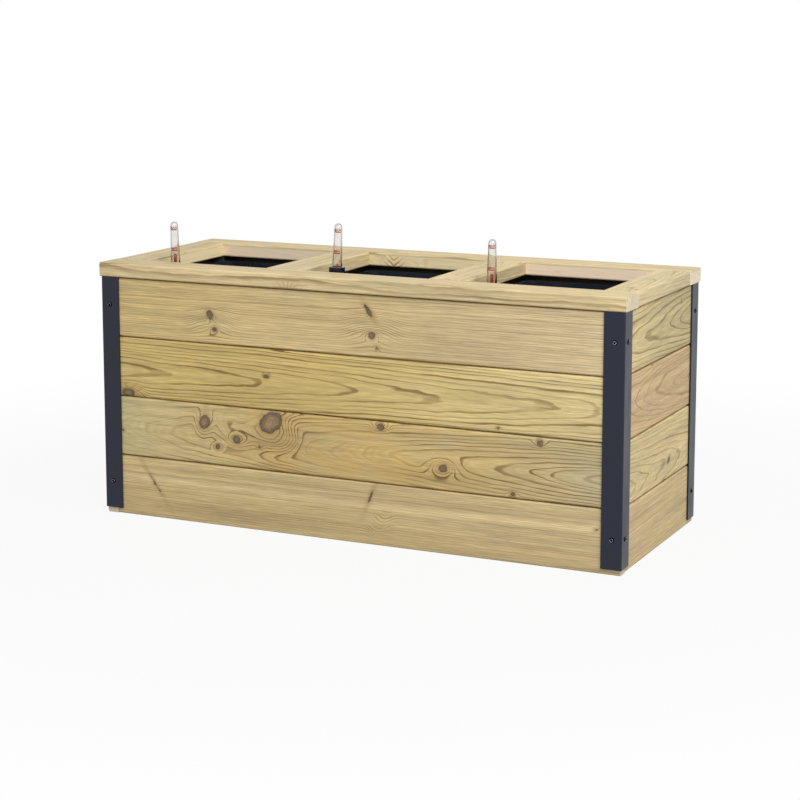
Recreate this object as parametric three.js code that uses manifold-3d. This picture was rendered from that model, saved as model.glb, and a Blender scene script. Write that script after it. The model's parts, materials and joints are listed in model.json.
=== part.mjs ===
// Self-watering wooden planter: tongue-and-groove boards behind steel corner angles, a top frame with
// three openings, and three lift-out plastic inserts, each with a water reservoir and a level gauge.
// Millimetres and degrees. +Z is up, +X runs along the length, -Y is the front.
// The origin is on the ground, under the middle of the box.
import * as THREE from 'three';
import { mergeVertices } from 'three/addons/utils/BufferGeometryUtils.js';
import Module from 'manifold-3d';

const wasm = await Module();
wasm.setup();

// Clearance between pieces that touch
const FIT_GAP = 0.3;

// Top frame
const RIM_LENGTH = 1100;
const RIM_DEPTH = 440;
const RIM_THICKNESS = 28;
const RAIL_WIDTH = 68;
const DIVIDER_WIDTH = 76;
const RAIL_EDGE_RADIUS = 4;
const RIM_OVERHANG = 2.5;
const RIM_SHADOW_GAP = 2;

// Wall boards
const COURSES = 4;
const BOARD_PITCH = 120;
const BOARD_THICKNESS = 26;
const BOARD_EDGE_RADIUS = 5;
const BOARD_BACK_CHAMFER = 1.5;
const TONGUE_THICKNESS = 8;
const TONGUE_HEIGHT = 8;
const GROOVE_SIDE_CLEARANCE = 0.4;
const GROOVE_END_CLEARANCE = 1;

// Steel corner angles and their countersunk screw holes
const ANGLE_LEG = 40;
const ANGLE_THICKNESS = 3;
const ANGLE_CORNER_RADIUS = 3;
const ANGLE_GROUND_GAP = 11;
const SCREW_HOLE_RADIUS = 2.6;
const SCREW_HEAD_RADIUS = 5;
const COUNTERSINK_DEPTH = 2.4;
const SCREW_FROM_CORNER = 19;
const SCREW_FROM_END = 55;

// Inner corner posts and slatted floor
const POST_SIZE = 32;
const POST_GROUND_GAP = 11;
const POST_EDGE_RADIUS = 2;
const BEARER_THICKNESS = 32;
const BEARER_HEIGHT = 42;
const BEARER_GROUND_GAP = 20;
const SLAT_WIDTH = 95;
const SLAT_THICKNESS = 18;
const SLAT_SPACING = 140;
const FLOOR_EDGE_RADIUS = 2;

// Liner tubs
const LINER_CLEARANCE = 4;
const LINER_BELOW_RIM = 8;
const LINER_WALL = 3.5;
const LINER_FLOOR = 4;
const LINER_DRAFT = 0.7;
const LINER_INNER_RADIUS = 14;
const LINER_BOTTOM_CHAMFER = 3;
const LIP_WIDTH = 5;
const LIP_HEIGHT = 10;
const LIP_CHAMFER = 1.2;

// Separator plates over the water reservoirs
const RESERVOIR_DEPTH = 75;
const PLATE_THICKNESS = 3;
const PLATE_CLEARANCE = 0.8;
const PLATE_UPSTAND = 6;
const PLATE_UPSTAND_WIDTH = 2.5;
const BASKET_TOP_RADIUS = 40;
const BASKET_FOOT_RADIUS = 32;
const BASKET_WALL = 2.5;
const BASKET_FLANGE_WIDTH = 6;
const BASKET_FLOOR_GAP = 6;
const BASKET_SLOT_WIDTH = 8;
const BASKET_SLOT_MARGIN = 12;
const BASKET_SLOT_PAIRS = 4;
const LEG_TOP_RADIUS = 9;
const LEG_FOOT_RADIUS = 7;
const LEG_SPREAD_X = 170;
const LEG_SPREAD_Y = 140;
const DRAIN_HOLE_RADIUS = 3;
const DRAIN_HOLE_SPACING = 42;
const DRAIN_HOLE_MARGIN = 6;
const SLEEVE_WALL = 2;
const SLEEVE_RISE = 10;
const SLEEVE_DROP = 8;
const SLEEVE_CLEARANCE = 0.8;

// Level gauges: a black shaft with a ribbed collar, a clear sight tube, and a float with a red rod
const GAUGE_FROM_FRONT = 32;
const SHAFT_RADIUS = 10;
const SHAFT_WALL = 1.5;
const COLLAR_BELOW_RIM = 7.5;
const COLLAR_HEIGHT = 30;
const COLLAR_RADIUS = 17;
const COLLAR_RIB_DEPTH = 1.4;
const COLLAR_RIBS = 18;
const ROD_GUIDE_THICKNESS = 3;
const ROD_GUIDE_CLEARANCE = 0.4;
const SIGHT_HEIGHT = 84;
const SIGHT_SEAT = 12;
const SIGHT_BASE_RADIUS = 9.8;
const SIGHT_TOP_RADIUS = 7.7;
const SIGHT_WALL = 1.2;
const FLOAT_LENGTH = 40;
const FLOAT_CLEARANCE = 1;
const FLOAT_CHAMFER = 2;
const ROD_RADIUS = 1.5;
const ROD_SOCKET_DEPTH = 12;
const POINTER_RADIUS = 3;
const POINTER_ABOVE_COLLAR = 19.5;

// Where each gauge stands, how it leans towards +X and how far it is pulled up
const INSERTS = [
  { side: 'left', gaugeFromSide: 57, gaugeLean: -1.3, gaugeLift: 0 },
  { side: 'middle', gaugeFromSide: 45.5, gaugeLean: 2.5, gaugeLift: 14 },
  { side: 'right', gaugeFromSide: 36, gaugeLean: 0.6, gaugeLift: 0 },
];

// Facets of each arc: rounded edges, moulded corners, turned bodies and holes
const EDGE_FACETS = 4;
const HIDDEN_EDGE_FACETS = 2;
const CORNER_FACETS = 6;
const ROUND_FACETS = 20;
const HOLE_FACETS = 12;
const DRAIN_HOLE_FACETS = 6;
const CUT_OVERRUN = 1;

// Levels and outlines that follow from the sizes above
const rimUnderside = COURSES * BOARD_PITCH;
const rimTop = rimUnderside + RIM_THICKNESS;
const angleLength = RIM_LENGTH - 2 * RIM_OVERHANG;
const angleDepth = RIM_DEPTH - 2 * RIM_OVERHANG;
const woodLength = angleLength - 2 * (ANGLE_THICKNESS + FIT_GAP);
const woodDepth = angleDepth - 2 * (ANGLE_THICKNESS + FIT_GAP);
const innerLength = woodLength - 2 * BOARD_THICKNESS;
const innerDepth = woodDepth - 2 * BOARD_THICKNESS;
const openingDepth = RIM_DEPTH - 2 * RAIL_WIDTH;
const dividerCount = INSERTS.length - 1;
const openingLength =
  (RIM_LENGTH - 2 * RAIL_WIDTH - dividerCount * DIVIDER_WIDTH) / INSERTS.length;
const openingPitch = openingLength + DIVIDER_WIDTH;
const slatTop = BEARER_GROUND_GAP + BEARER_HEIGHT + FIT_GAP + SLAT_THICKNESS;
const linerBottom = slatTop + FIT_GAP;
const linerHeight = rimUnderside - LINER_BELOW_RIM - linerBottom;
const linerTaper = linerHeight * Math.tan(THREE.MathUtils.degToRad(LINER_DRAFT));
const lipLength = openingLength - 2 * LINER_CLEARANCE;
const lipDepth = openingDepth - 2 * LINER_CLEARANCE;
const plateTop = LINER_FLOOR + RESERVOIR_DEPTH + PLATE_THICKNESS;
const gaugeHeight = rimTop - COLLAR_BELOW_RIM - linerBottom - LINER_FLOOR - FIT_GAP;
const collarCoreRadius = COLLAR_RADIUS - COLLAR_RIB_DEPTH;
const floatRadius = SHAFT_RADIUS - SHAFT_WALL - FLOAT_CLEARANCE;

const quarterTurn = Math.PI / 2;

// Turns an extrusion so that it runs along X, with its section's X on Y and its section's Y on Z
const alongX = new THREE.Matrix4().makeBasis(
  new THREE.Vector3(0, 1, 0), new THREE.Vector3(0, 0, 1), new THREE.Vector3(1, 0, 0),
);

const pine = new THREE.MeshStandardMaterial({ color: '#d2c08f', roughness: 0.72, flatShading: true });
const coatedSteel = new THREE.MeshStandardMaterial({
  color: '#343a45', roughness: 0.5, metalness: 0.4, flatShading: true,
});
const blackPlastic = new THREE.MeshStandardMaterial({
  color: '#15171d', roughness: 0.32, flatShading: true,
});
const clearPlastic = new THREE.MeshStandardMaterial({
  color: '#e9eff0', roughness: 0.08, transparent: true, opacity: 0.35, flatShading: true,
});
const redPlastic = new THREE.MeshStandardMaterial({ color: '#c3252b', roughness: 0.4, flatShading: true });
const floatFoam = new THREE.MeshStandardMaterial({ color: '#ece7da', roughness: 0.85, flatShading: true });

// Geometry with shared vertices and without triangles that have collapsed on an axis
function weld(geometry) {
  geometry.deleteAttribute('normal');
  geometry.deleteAttribute('uv');
  const merged = mergeVertices(geometry);
  const kept = [];
  for (let start = 0; start < merged.index.count; start += 3) {
    const corners = [start, start + 1, start + 2].map((entry) => merged.index.getX(entry));
    if (new Set(corners).size === 3) {
      kept.push(...corners);
    }
  }
  merged.setIndex(kept);
  return merged;
}

function toSolid(geometry) {
  const welded = weld(geometry);
  const vertProperties = new Float32Array(welded.attributes.position.array);
  const triVerts = new Uint32Array(welded.index.array);
  return new wasm.Manifold(new wasm.Mesh({ numProp: 3, vertProperties, triVerts }));
}

function toGeometry(solid) {
  const mesh = solid.getMesh();
  const geometry = new THREE.BufferGeometry();
  geometry.setAttribute('position', new THREE.BufferAttribute(mesh.vertProperties, 3));
  geometry.setIndex(new THREE.BufferAttribute(mesh.triVerts, 1));
  return geometry;
}

function addPiece(group, name, geometry, material) {
  const piece = new THREE.Mesh(geometry, material);
  piece.name = name;
  group.add(piece);
  return piece;
}

// Rectangle about the origin with rounded corners, drawn counterclockwise
function roundedRectangle(width, height, radius) {
  const x = width / 2 - radius;
  const y = height / 2 - radius;
  const shape = new THREE.Shape();
  shape.absarc(x, -y, radius, -Math.PI / 2, 0, false);
  shape.absarc(x, y, radius, 0, Math.PI / 2, false);
  shape.absarc(-x, y, radius, Math.PI / 2, Math.PI, false);
  shape.absarc(-x, -y, radius, Math.PI, 1.5 * Math.PI, false);
  shape.closePath();
  return shape;
}

// Slot about the origin with round ends along X
function obround(centreDistance, radius) {
  const x = centreDistance / 2;
  const shape = new THREE.Shape();
  shape.absarc(x, 0, radius, -Math.PI / 2, Math.PI / 2, false);
  shape.absarc(-x, 0, radius, Math.PI / 2, 1.5 * Math.PI, false);
  shape.closePath();
  return shape;
}

function circle(radius, x = 0, y = 0) {
  const shape = new THREE.Shape();
  shape.absarc(x, y, radius, 0, 2 * Math.PI, false);
  return shape;
}

// An arc in a shape gets two points for each curve segment
function extrude(shape, depth, arcFacets) {
  const curveSegments = arcFacets / 2;
  return new THREE.ExtrudeGeometry(shape, { depth, curveSegments, bevelEnabled: false });
}

// Body of revolution about Z from [radius, height] pairs, the outer wall listed upwards
function revolve(profile, facets = ROUND_FACETS) {
  const points = profile.map(([radius, height]) => new THREE.Vector2(radius, height));
  return new THREE.LatheGeometry(points, facets).rotateX(Math.PI / 2);
}

// Timber with rounded long edges: its length on X, its width on Y, its underside at Z = 0
function timber(length, width, thickness, edgeRadius, edgeFacets) {
  const section = roundedRectangle(width, thickness, edgeRadius);
  const bar = extrude(section, length, edgeFacets).applyMatrix4(alongX);
  return weld(bar.translate(-length / 2, 0, thickness / 2));
}

// Board section: X runs from the outer face inwards and Y runs up
function boardSection(height, hasTongue, hasGroove) {
  const middle = BOARD_THICKNESS / 2;
  const tongueHalf = TONGUE_THICKNESS / 2;
  const grooveHalf = tongueHalf + GROOVE_SIDE_CLEARANCE;
  const grooveDepth = TONGUE_HEIGHT + GROOVE_END_CLEARANCE;
  const section = new THREE.Shape();
  section.moveTo(BOARD_EDGE_RADIUS, 0);
  if (hasGroove) {
    section.lineTo(middle - grooveHalf, 0);
    section.lineTo(middle - grooveHalf, grooveDepth);
    section.lineTo(middle + grooveHalf, grooveDepth);
    section.lineTo(middle + grooveHalf, 0);
  }
  section.lineTo(BOARD_THICKNESS - BOARD_BACK_CHAMFER, 0);
  section.lineTo(BOARD_THICKNESS, BOARD_BACK_CHAMFER);
  section.lineTo(BOARD_THICKNESS, height - BOARD_BACK_CHAMFER);
  section.lineTo(BOARD_THICKNESS - BOARD_BACK_CHAMFER, height);
  if (hasTongue) {
    section.lineTo(middle + tongueHalf, height);
    section.lineTo(middle + tongueHalf, height + TONGUE_HEIGHT);
    section.lineTo(middle - tongueHalf, height + TONGUE_HEIGHT);
    section.lineTo(middle - tongueHalf, height);
  }
  section.lineTo(BOARD_EDGE_RADIUS, height);
  const edge = BOARD_EDGE_RADIUS;
  section.absarc(edge, height - edge, edge, Math.PI / 2, Math.PI, false);
  section.absarc(edge, edge, edge, Math.PI, 1.5 * Math.PI, false);
  return section;
}

// One wall of boards. Each wall butts against its neighbour at one end and covers the next at the other.
function addWall(group, side, turn, span, reach) {
  const wall = new THREE.Group();
  wall.rotation.z = turn;
  const start = -span / 2 + BOARD_THICKNESS + FIT_GAP;
  for (let course = 0; course < COURSES; course += 1) {
    const isTop = course === COURSES - 1;
    const height = BOARD_PITCH - (isTop ? RIM_SHADOW_GAP : FIT_GAP);
    const section = boardSection(height, !isTop, course > 0);
    const board = weld(extrude(section, span / 2 - start, EDGE_FACETS).applyMatrix4(alongX));
    const piece = addPiece(wall, `${side}_board_${COURSES - course}`, board, pine);
    piece.position.set(start, -reach, course * BOARD_PITCH);
  }
  group.add(wall);
}

// Countersunk hole cutter along Z, with the outer face of the steel at Z = 0
function screwHoleCutter() {
  return revolve([
    [0, -ANGLE_THICKNESS - CUT_OVERRUN],
    [SCREW_HOLE_RADIUS, -ANGLE_THICKNESS - CUT_OVERRUN],
    [SCREW_HOLE_RADIUS, -COUNTERSINK_DEPTH],
    [SCREW_HEAD_RADIUS, 0],
    [SCREW_HEAD_RADIUS, CUT_OVERRUN],
    [0, CUT_OVERRUN],
  ], HOLE_FACETS);
}

// Steel angle for the front right corner, with its outer edge on the Z axis
function cornerAngle() {
  const length = rimUnderside - FIT_GAP - ANGLE_GROUND_GAP;
  const section = new THREE.Shape();
  section.moveTo(-ANGLE_LEG, 0);
  section.absarc(-ANGLE_CORNER_RADIUS, ANGLE_CORNER_RADIUS, ANGLE_CORNER_RADIUS, -Math.PI / 2, 0, false);
  section.lineTo(0, ANGLE_LEG);
  section.lineTo(-ANGLE_THICKNESS, ANGLE_LEG);
  section.lineTo(-ANGLE_THICKNESS, ANGLE_THICKNESS);
  section.lineTo(-ANGLE_LEG, ANGLE_THICKNESS);
  let angle = toSolid(extrude(section, length, EDGE_FACETS));
  for (const height of [SCREW_FROM_END, length - SCREW_FROM_END]) {
    const frontHole = screwHoleCutter().rotateX(quarterTurn).translate(-SCREW_FROM_CORNER, 0, height);
    const sideHole = screwHoleCutter().rotateY(quarterTurn).translate(0, SCREW_FROM_CORNER, height);
    angle = angle.subtract(toSolid(frontHole)).subtract(toSolid(sideHole));
  }
  return toGeometry(angle);
}

function innerPost() {
  const length = rimUnderside - FIT_GAP - POST_GROUND_GAP;
  const section = roundedRectangle(POST_SIZE, POST_SIZE, POST_EDGE_RADIUS);
  return weld(extrude(section, length, HIDDEN_EDGE_FACETS));
}

// Steel angles outside and wooden posts inside, at the four corners
function addCorners(group) {
  const postX = innerLength / 2 - FIT_GAP - POST_SIZE / 2;
  const postY = innerDepth / 2 - FIT_GAP - POST_SIZE / 2;
  const corners = [
    { name: 'front_right', x: 1, y: -1 },
    { name: 'back_right', x: 1, y: 1 },
    { name: 'back_left', x: -1, y: 1 },
    { name: 'front_left', x: -1, y: -1 },
  ];
  corners.forEach(({ name, x, y }, quarter) => {
    const angle = addPiece(group, `corner_angle_${name}`, cornerAngle(), coatedSteel);
    angle.position.set(x * angleLength / 2, y * angleDepth / 2, ANGLE_GROUND_GAP);
    angle.rotation.z = quarter * quarterTurn;
    const post = addPiece(group, `inner_post_${name}`, innerPost(), pine);
    post.position.set(x * postX, y * postY, POST_GROUND_GAP);
  });
}

// Two long bearers between the inner posts, with two slats across them under each insert
function addFloor(group) {
  const bearerLength = innerLength - 2 * (POST_SIZE + 2 * FIT_GAP);
  const bearerY = innerDepth / 2 - FIT_GAP - BEARER_THICKNESS / 2;
  const hiddenTimber = (length, width, thickness) =>
    timber(length, width, thickness, FLOOR_EDGE_RADIUS, HIDDEN_EDGE_FACETS);
  for (const [side, y] of [['front', -bearerY], ['back', bearerY]]) {
    const shape = hiddenTimber(bearerLength, BEARER_THICKNESS, BEARER_HEIGHT);
    const bearer = addPiece(group, `floor_bearer_${side}`, shape, pine);
    bearer.position.set(0, y, BEARER_GROUND_GAP);
  }
  INSERTS.forEach((insert, index) => {
    const centre = insertCentre(index);
    for (const [half, offset] of [['a', -SLAT_SPACING / 2], ['b', SLAT_SPACING / 2]]) {
      const shape = hiddenTimber(innerDepth - 2 * FIT_GAP, SLAT_WIDTH, SLAT_THICKNESS);
      const slat = addPiece(group, `floor_slat_${insert.side}_${half}`, shape, pine);
      slat.position.set(centre + offset, 0, slatTop - SLAT_THICKNESS);
      slat.rotation.z = quarterTurn;
    }
  });
}

// Long rails at the front and back, with end rails and dividers butted between them
function addTopFrame(group) {
  const railY = (RIM_DEPTH - RAIL_WIDTH) / 2;
  for (const [side, y] of [['front', -railY], ['back', railY]]) {
    const shape = timber(RIM_LENGTH, RAIL_WIDTH, RIM_THICKNESS, RAIL_EDGE_RADIUS, EDGE_FACETS);
    const rail = addPiece(group, `rim_rail_${side}`, shape, pine);
    rail.position.set(0, y, rimUnderside);
  }
  const crossLength = openingDepth - 2 * FIT_GAP;
  const endX = (RIM_LENGTH - RAIL_WIDTH) / 2;
  const crossRails = [
    ['rim_rail_left', -endX, RAIL_WIDTH],
    ['rim_rail_right', endX, RAIL_WIDTH],
    ['rim_divider_left', -openingPitch / 2, DIVIDER_WIDTH],
    ['rim_divider_right', openingPitch / 2, DIVIDER_WIDTH],
  ];
  for (const [name, x, width] of crossRails) {
    const shape = timber(crossLength, width, RIM_THICKNESS, RAIL_EDGE_RADIUS, EDGE_FACETS);
    const rail = addPiece(group, name, shape, pine);
    rail.position.set(x, 0, rimUnderside);
    rail.rotation.z = quarterTurn;
  }
}

function insertCentre(index) {
  return (index - dividerCount / 2) * openingPitch;
}

// Closed skin through level outlines with equal point counts, flat at the first and the last
function loft(outlines) {
  const count = outlines[0].length;
  const positions = outlines.flat().flatMap((point) => point.toArray());
  const index = [];
  for (let level = 0; level < outlines.length - 1; level += 1) {
    for (let step = 0; step < count; step += 1) {
      const here = level * count + step;
      const next = level * count + ((step + 1) % count);
      index.push(here, next, next + count, here, next + count, here + count);
    }
  }
  const last = (outlines.length - 1) * count;
  for (let step = 1; step < count - 1; step += 1) {
    index.push(0, step + 1, step);
    index.push(last, last + step, last + step + 1);
  }
  const geometry = new THREE.BufferGeometry();
  geometry.setAttribute('position', new THREE.Float32BufferAttribute(positions, 3));
  geometry.setIndex(index);
  return geometry;
}

// The lip's rectangle drawn in by an inset, with corners that follow it
function insetRectangle(inset) {
  const innerFloorInset = LIP_WIDTH + LINER_WALL + linerTaper;
  const radius = LINER_INNER_RADIUS + innerFloorInset - inset;
  return roundedRectangle(lipLength - 2 * inset, lipDepth - 2 * inset, radius);
}

function tubOutline(inset, height) {
  const points = insetRectangle(inset).getPoints(CORNER_FACETS / 2);
  points.pop();
  return points.map((point) => new THREE.Vector3(point.x, point.y, height));
}

// Inset of the liner's outer wall from its lip, which grows downwards with the draft
function outerInset(height) {
  return LIP_WIDTH + linerTaper * (1 - height / linerHeight);
}

function linerTub() {
  const lipUnderside = linerHeight - LIP_HEIGHT;
  return loft([
    tubOutline(outerInset(0) + LINER_BOTTOM_CHAMFER, 0),
    tubOutline(outerInset(LINER_BOTTOM_CHAMFER), LINER_BOTTOM_CHAMFER),
    tubOutline(outerInset(lipUnderside), lipUnderside),
    tubOutline(0, lipUnderside),
    tubOutline(0, linerHeight - LIP_CHAMFER),
    tubOutline(LIP_CHAMFER, linerHeight),
    tubOutline(outerInset(linerHeight) + LINER_WALL, linerHeight),
    tubOutline(outerInset(LINER_FLOOR) + LINER_WALL, LINER_FLOOR),
  ]);
}

// Place of a gauge's axis across the opening, at a height above the liner's floor
function gaugeX(insert, height) {
  const lean = Math.tan(THREE.MathUtils.degToRad(insert.gaugeLean));
  return -openingLength / 2 + insert.gaugeFromSide + lean * height;
}

const gaugeY = -openingDepth / 2 + GAUGE_FROM_FRONT;
const gaugePlaces = INSERTS.map((insert) => gaugeX(insert, RESERVOIR_DEPTH));
const sleeveCentre = (Math.min(...gaugePlaces) + Math.max(...gaugePlaces)) / 2;
const sleeveTravel = Math.max(...gaugePlaces) - Math.min(...gaugePlaces);
const sleeveRadius = SHAFT_RADIUS + SLEEVE_CLEARANCE;

// True where a drain hole keeps clear of the basket, the gauge sleeve and the legs
function isOpenPlate(x, y) {
  const margin = DRAIN_HOLE_RADIUS + DRAIN_HOLE_MARGIN;
  const alongSleeve = Math.max(Math.abs(x - sleeveCentre) - sleeveTravel / 2, 0);
  const toSleeve = Math.hypot(alongSleeve, y - gaugeY) - sleeveRadius - SLEEVE_WALL;
  const toBasket = Math.hypot(x, y) - BASKET_TOP_RADIUS - BASKET_FLANGE_WIDTH;
  const fromLegX = Math.abs(x) - LEG_SPREAD_X / 2;
  const fromLegY = Math.abs(y) - LEG_SPREAD_Y / 2;
  const toLeg = Math.hypot(fromLegX, fromLegY) - LEG_TOP_RADIUS;
  return Math.min(toSleeve, toBasket, toLeg) > margin;
}

function addDrainHoles(plate, length, depth) {
  const border = PLATE_UPSTAND_WIDTH + DRAIN_HOLE_MARGIN + DRAIN_HOLE_RADIUS;
  const columns = Math.floor((length / 2 - border) / DRAIN_HOLE_SPACING);
  const rows = Math.floor((depth / 2 - border) / DRAIN_HOLE_SPACING);
  for (let column = -columns; column <= columns; column += 1) {
    for (let row = -rows; row <= rows; row += 1) {
      const x = column * DRAIN_HOLE_SPACING;
      const y = row * DRAIN_HOLE_SPACING;
      if (isOpenPlate(x, y)) {
        plate.holes.push(circle(DRAIN_HOLE_RADIUS, x, y));
      }
    }
  }
}

// Cup for soil that reaches down into the water, slotted all round, its flange on the separator plate
function wickingBasket() {
  const foot = LINER_FLOOR + BASKET_FLOOR_GAP;
  const seat = plateTop + FIT_GAP;
  const flangeRadius = BASKET_TOP_RADIUS + BASKET_FLANGE_WIDTH;
  const cup = revolve([
    [0, foot],
    [BASKET_FOOT_RADIUS, foot],
    [BASKET_TOP_RADIUS, seat],
    [flangeRadius, seat],
    [flangeRadius, seat + BASKET_WALL],
    [BASKET_TOP_RADIUS - BASKET_WALL, seat + BASKET_WALL],
    [BASKET_FOOT_RADIUS - BASKET_WALL, foot + BASKET_WALL],
    [0, foot + BASKET_WALL],
  ]);
  let basket = toSolid(cup);
  const slotHeight = plateTop - foot - 2 * BASKET_SLOT_MARGIN;
  for (let pair = 0; pair < BASKET_SLOT_PAIRS; pair += 1) {
    const slot = new THREE.BoxGeometry(3 * BASKET_TOP_RADIUS, BASKET_SLOT_WIDTH, slotHeight);
    slot.rotateZ((pair * Math.PI) / BASKET_SLOT_PAIRS);
    slot.translate(0, 0, (plateTop + foot) / 2);
    basket = basket.subtract(toSolid(slot));
  }
  return toGeometry(basket);
}

// Perforated plate on four legs, with a mouth for the wicking basket and a sleeve for the gauge
function separatorPlate() {
  const underside = plateTop - PLATE_THICKNESS;
  const inset = outerInset(underside) + LINER_WALL + PLATE_CLEARANCE;

  const plateShape = insetRectangle(inset);
  addDrainHoles(plateShape, lipLength - 2 * inset, lipDepth - 2 * inset);
  let plate = toSolid(extrude(plateShape, PLATE_THICKNESS, DRAIN_HOLE_FACETS).translate(0, 0, underside));

  const upstandShape = insetRectangle(inset);
  upstandShape.holes.push(insetRectangle(inset + PLATE_UPSTAND_WIDTH));
  const upstand = extrude(upstandShape, PLATE_THICKNESS + PLATE_UPSTAND, CORNER_FACETS);
  plate = plate.add(toSolid(upstand.translate(0, 0, underside)));

  const legHeight = underside - LINER_FLOOR - FIT_GAP;
  for (const x of [-LEG_SPREAD_X / 2, LEG_SPREAD_X / 2]) {
    for (const y of [-LEG_SPREAD_Y / 2, LEG_SPREAD_Y / 2]) {
      const leg = revolve([
        [0, underside - legHeight],
        [LEG_FOOT_RADIUS, underside - legHeight],
        [LEG_TOP_RADIUS, plateTop],
        [0, plateTop],
      ], HOLE_FACETS);
      plate = plate.add(toSolid(leg.translate(x, y, 0)));
    }
  }

  const mouthRadius = BASKET_TOP_RADIUS + FIT_GAP;
  const mouth = revolve([
    [0, underside - CUT_OVERRUN],
    [mouthRadius, underside - CUT_OVERRUN],
    [mouthRadius, plateTop + CUT_OVERRUN],
    [0, plateTop + CUT_OVERRUN],
  ]);
  plate = plate.subtract(toSolid(mouth));

  const sleeveHeight = SLEEVE_DROP + PLATE_THICKNESS + SLEEVE_RISE;
  const sleeveFoot = underside - SLEEVE_DROP;
  const boreHeight = sleeveHeight + 2 * CUT_OVERRUN;
  const sleeve = extrude(obround(sleeveTravel, sleeveRadius + SLEEVE_WALL), sleeveHeight, HOLE_FACETS);
  const bore = extrude(obround(sleeveTravel, sleeveRadius), boreHeight, HOLE_FACETS);
  plate = plate.add(toSolid(sleeve.translate(sleeveCentre, gaugeY, sleeveFoot)));
  plate = plate.subtract(toSolid(bore.translate(sleeveCentre, gaugeY, sleeveFoot - CUT_OVERRUN)));
  return toGeometry(plate);
}

// Outline of the ribbed collar: square ribs with equal gaps
function collarOutline() {
  const ribCorners = [COLLAR_RADIUS, COLLAR_RADIUS, collarCoreRadius, collarCoreRadius];
  const cornerCount = COLLAR_RIBS * ribCorners.length;
  const points = [];
  for (let corner = 0; corner < cornerCount; corner += 1) {
    const radius = ribCorners[corner % ribCorners.length];
    const turn = (corner / cornerCount) * 2 * Math.PI;
    points.push(new THREE.Vector2(radius * Math.cos(turn), radius * Math.sin(turn)));
  }
  return new THREE.Shape(points);
}

// Shaft open at the foot, with a rod guide under the socket for the sight tube
function gaugeShaft() {
  const boreRadius = SHAFT_RADIUS - SHAFT_WALL;
  const socketRadius = SIGHT_BASE_RADIUS + FIT_GAP;
  const socketFloor = gaugeHeight - SIGHT_SEAT - FIT_GAP;
  const guideRadius = ROD_RADIUS + ROD_GUIDE_CLEARANCE;
  const collarFoot = gaugeHeight - COLLAR_HEIGHT;
  const foot = [boreRadius, 0];
  const body = revolve([
    foot,
    [SHAFT_RADIUS, 0],
    [SHAFT_RADIUS, collarFoot - (collarCoreRadius - SHAFT_RADIUS)],
    [collarCoreRadius, collarFoot],
    [collarCoreRadius, gaugeHeight],
    [socketRadius, gaugeHeight],
    [socketRadius, socketFloor],
    [guideRadius, socketFloor],
    [guideRadius, socketFloor - ROD_GUIDE_THICKNESS],
    [boreRadius, socketFloor - ROD_GUIDE_THICKNESS],
    foot,
  ]);
  const ribs = collarOutline();
  ribs.holes.push(circle((socketRadius + collarCoreRadius) / 2));
  const collar = extrude(ribs, COLLAR_HEIGHT - COLLAR_RIB_DEPTH, ROUND_FACETS);
  return toGeometry(toSolid(body).add(toSolid(collar.translate(0, 0, collarFoot))));
}

// Tapered clear tube with a domed top, its foot in the collar's socket
function sightTube() {
  const foot = gaugeHeight - SIGHT_SEAT;
  const top = gaugeHeight + SIGHT_HEIGHT;
  const domeCentre = top - SIGHT_TOP_RADIUS;
  const innerTopRadius = SIGHT_TOP_RADIUS - SIGHT_WALL;
  const profile = [
    [SIGHT_BASE_RADIUS - SIGHT_WALL, foot],
    [SIGHT_BASE_RADIUS, foot],
    [SIGHT_BASE_RADIUS, gaugeHeight],
  ];
  for (let step = 0; step <= EDGE_FACETS; step += 1) {
    const turn = (step / EDGE_FACETS) * (Math.PI / 2);
    const radius = step === EDGE_FACETS ? 0 : SIGHT_TOP_RADIUS * Math.cos(turn);
    profile.push([radius, domeCentre + SIGHT_TOP_RADIUS * Math.sin(turn)]);
  }
  for (let step = EDGE_FACETS; step >= 0; step -= 1) {
    const turn = (step / EDGE_FACETS) * (Math.PI / 2);
    const radius = step === EDGE_FACETS ? 0 : innerTopRadius * Math.cos(turn);
    profile.push([radius, domeCentre + innerTopRadius * Math.sin(turn)]);
  }
  profile.push([SIGHT_BASE_RADIUS - SIGHT_WALL, gaugeHeight]);
  profile.push([SIGHT_BASE_RADIUS - SIGHT_WALL, foot]);
  return weld(revolve(profile));
}

function gaugeFloat() {
  const socketRadius = ROD_RADIUS + FIT_GAP;
  return weld(revolve([
    [0, 0],
    [floatRadius - FLOAT_CHAMFER, 0],
    [floatRadius, FLOAT_CHAMFER],
    [floatRadius, FLOAT_LENGTH - FLOAT_CHAMFER],
    [floatRadius - FLOAT_CHAMFER, FLOAT_LENGTH],
    [socketRadius, FLOAT_LENGTH],
    [socketRadius, FLOAT_LENGTH - ROD_SOCKET_DEPTH],
    [0, FLOAT_LENGTH - ROD_SOCKET_DEPTH],
  ], HOLE_FACETS));
}

// Thin rod from the float's socket, with a thicker pointer that can't drop through the rod guide,
// also where the shaft is pulled up
function gaugeRod() {
  const foot = FLOAT_LENGTH - ROD_SOCKET_DEPTH + FIT_GAP;
  const highestLift = Math.max(...INSERTS.map((insert) => insert.gaugeLift));
  const pointerFoot = gaugeHeight - SIGHT_SEAT + highestLift;
  const top = gaugeHeight + POINTER_ABOVE_COLLAR;
  return weld(revolve([
    [0, foot],
    [ROD_RADIUS, foot],
    [ROD_RADIUS, pointerFoot],
    [POINTER_RADIUS, pointerFoot],
    [POINTER_RADIUS, top - POINTER_RADIUS],
    [POINTER_RADIUS * Math.SQRT1_2, top - POINTER_RADIUS * (1 - Math.SQRT1_2)],
    [0, top],
  ], HOLE_FACETS));
}

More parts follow.
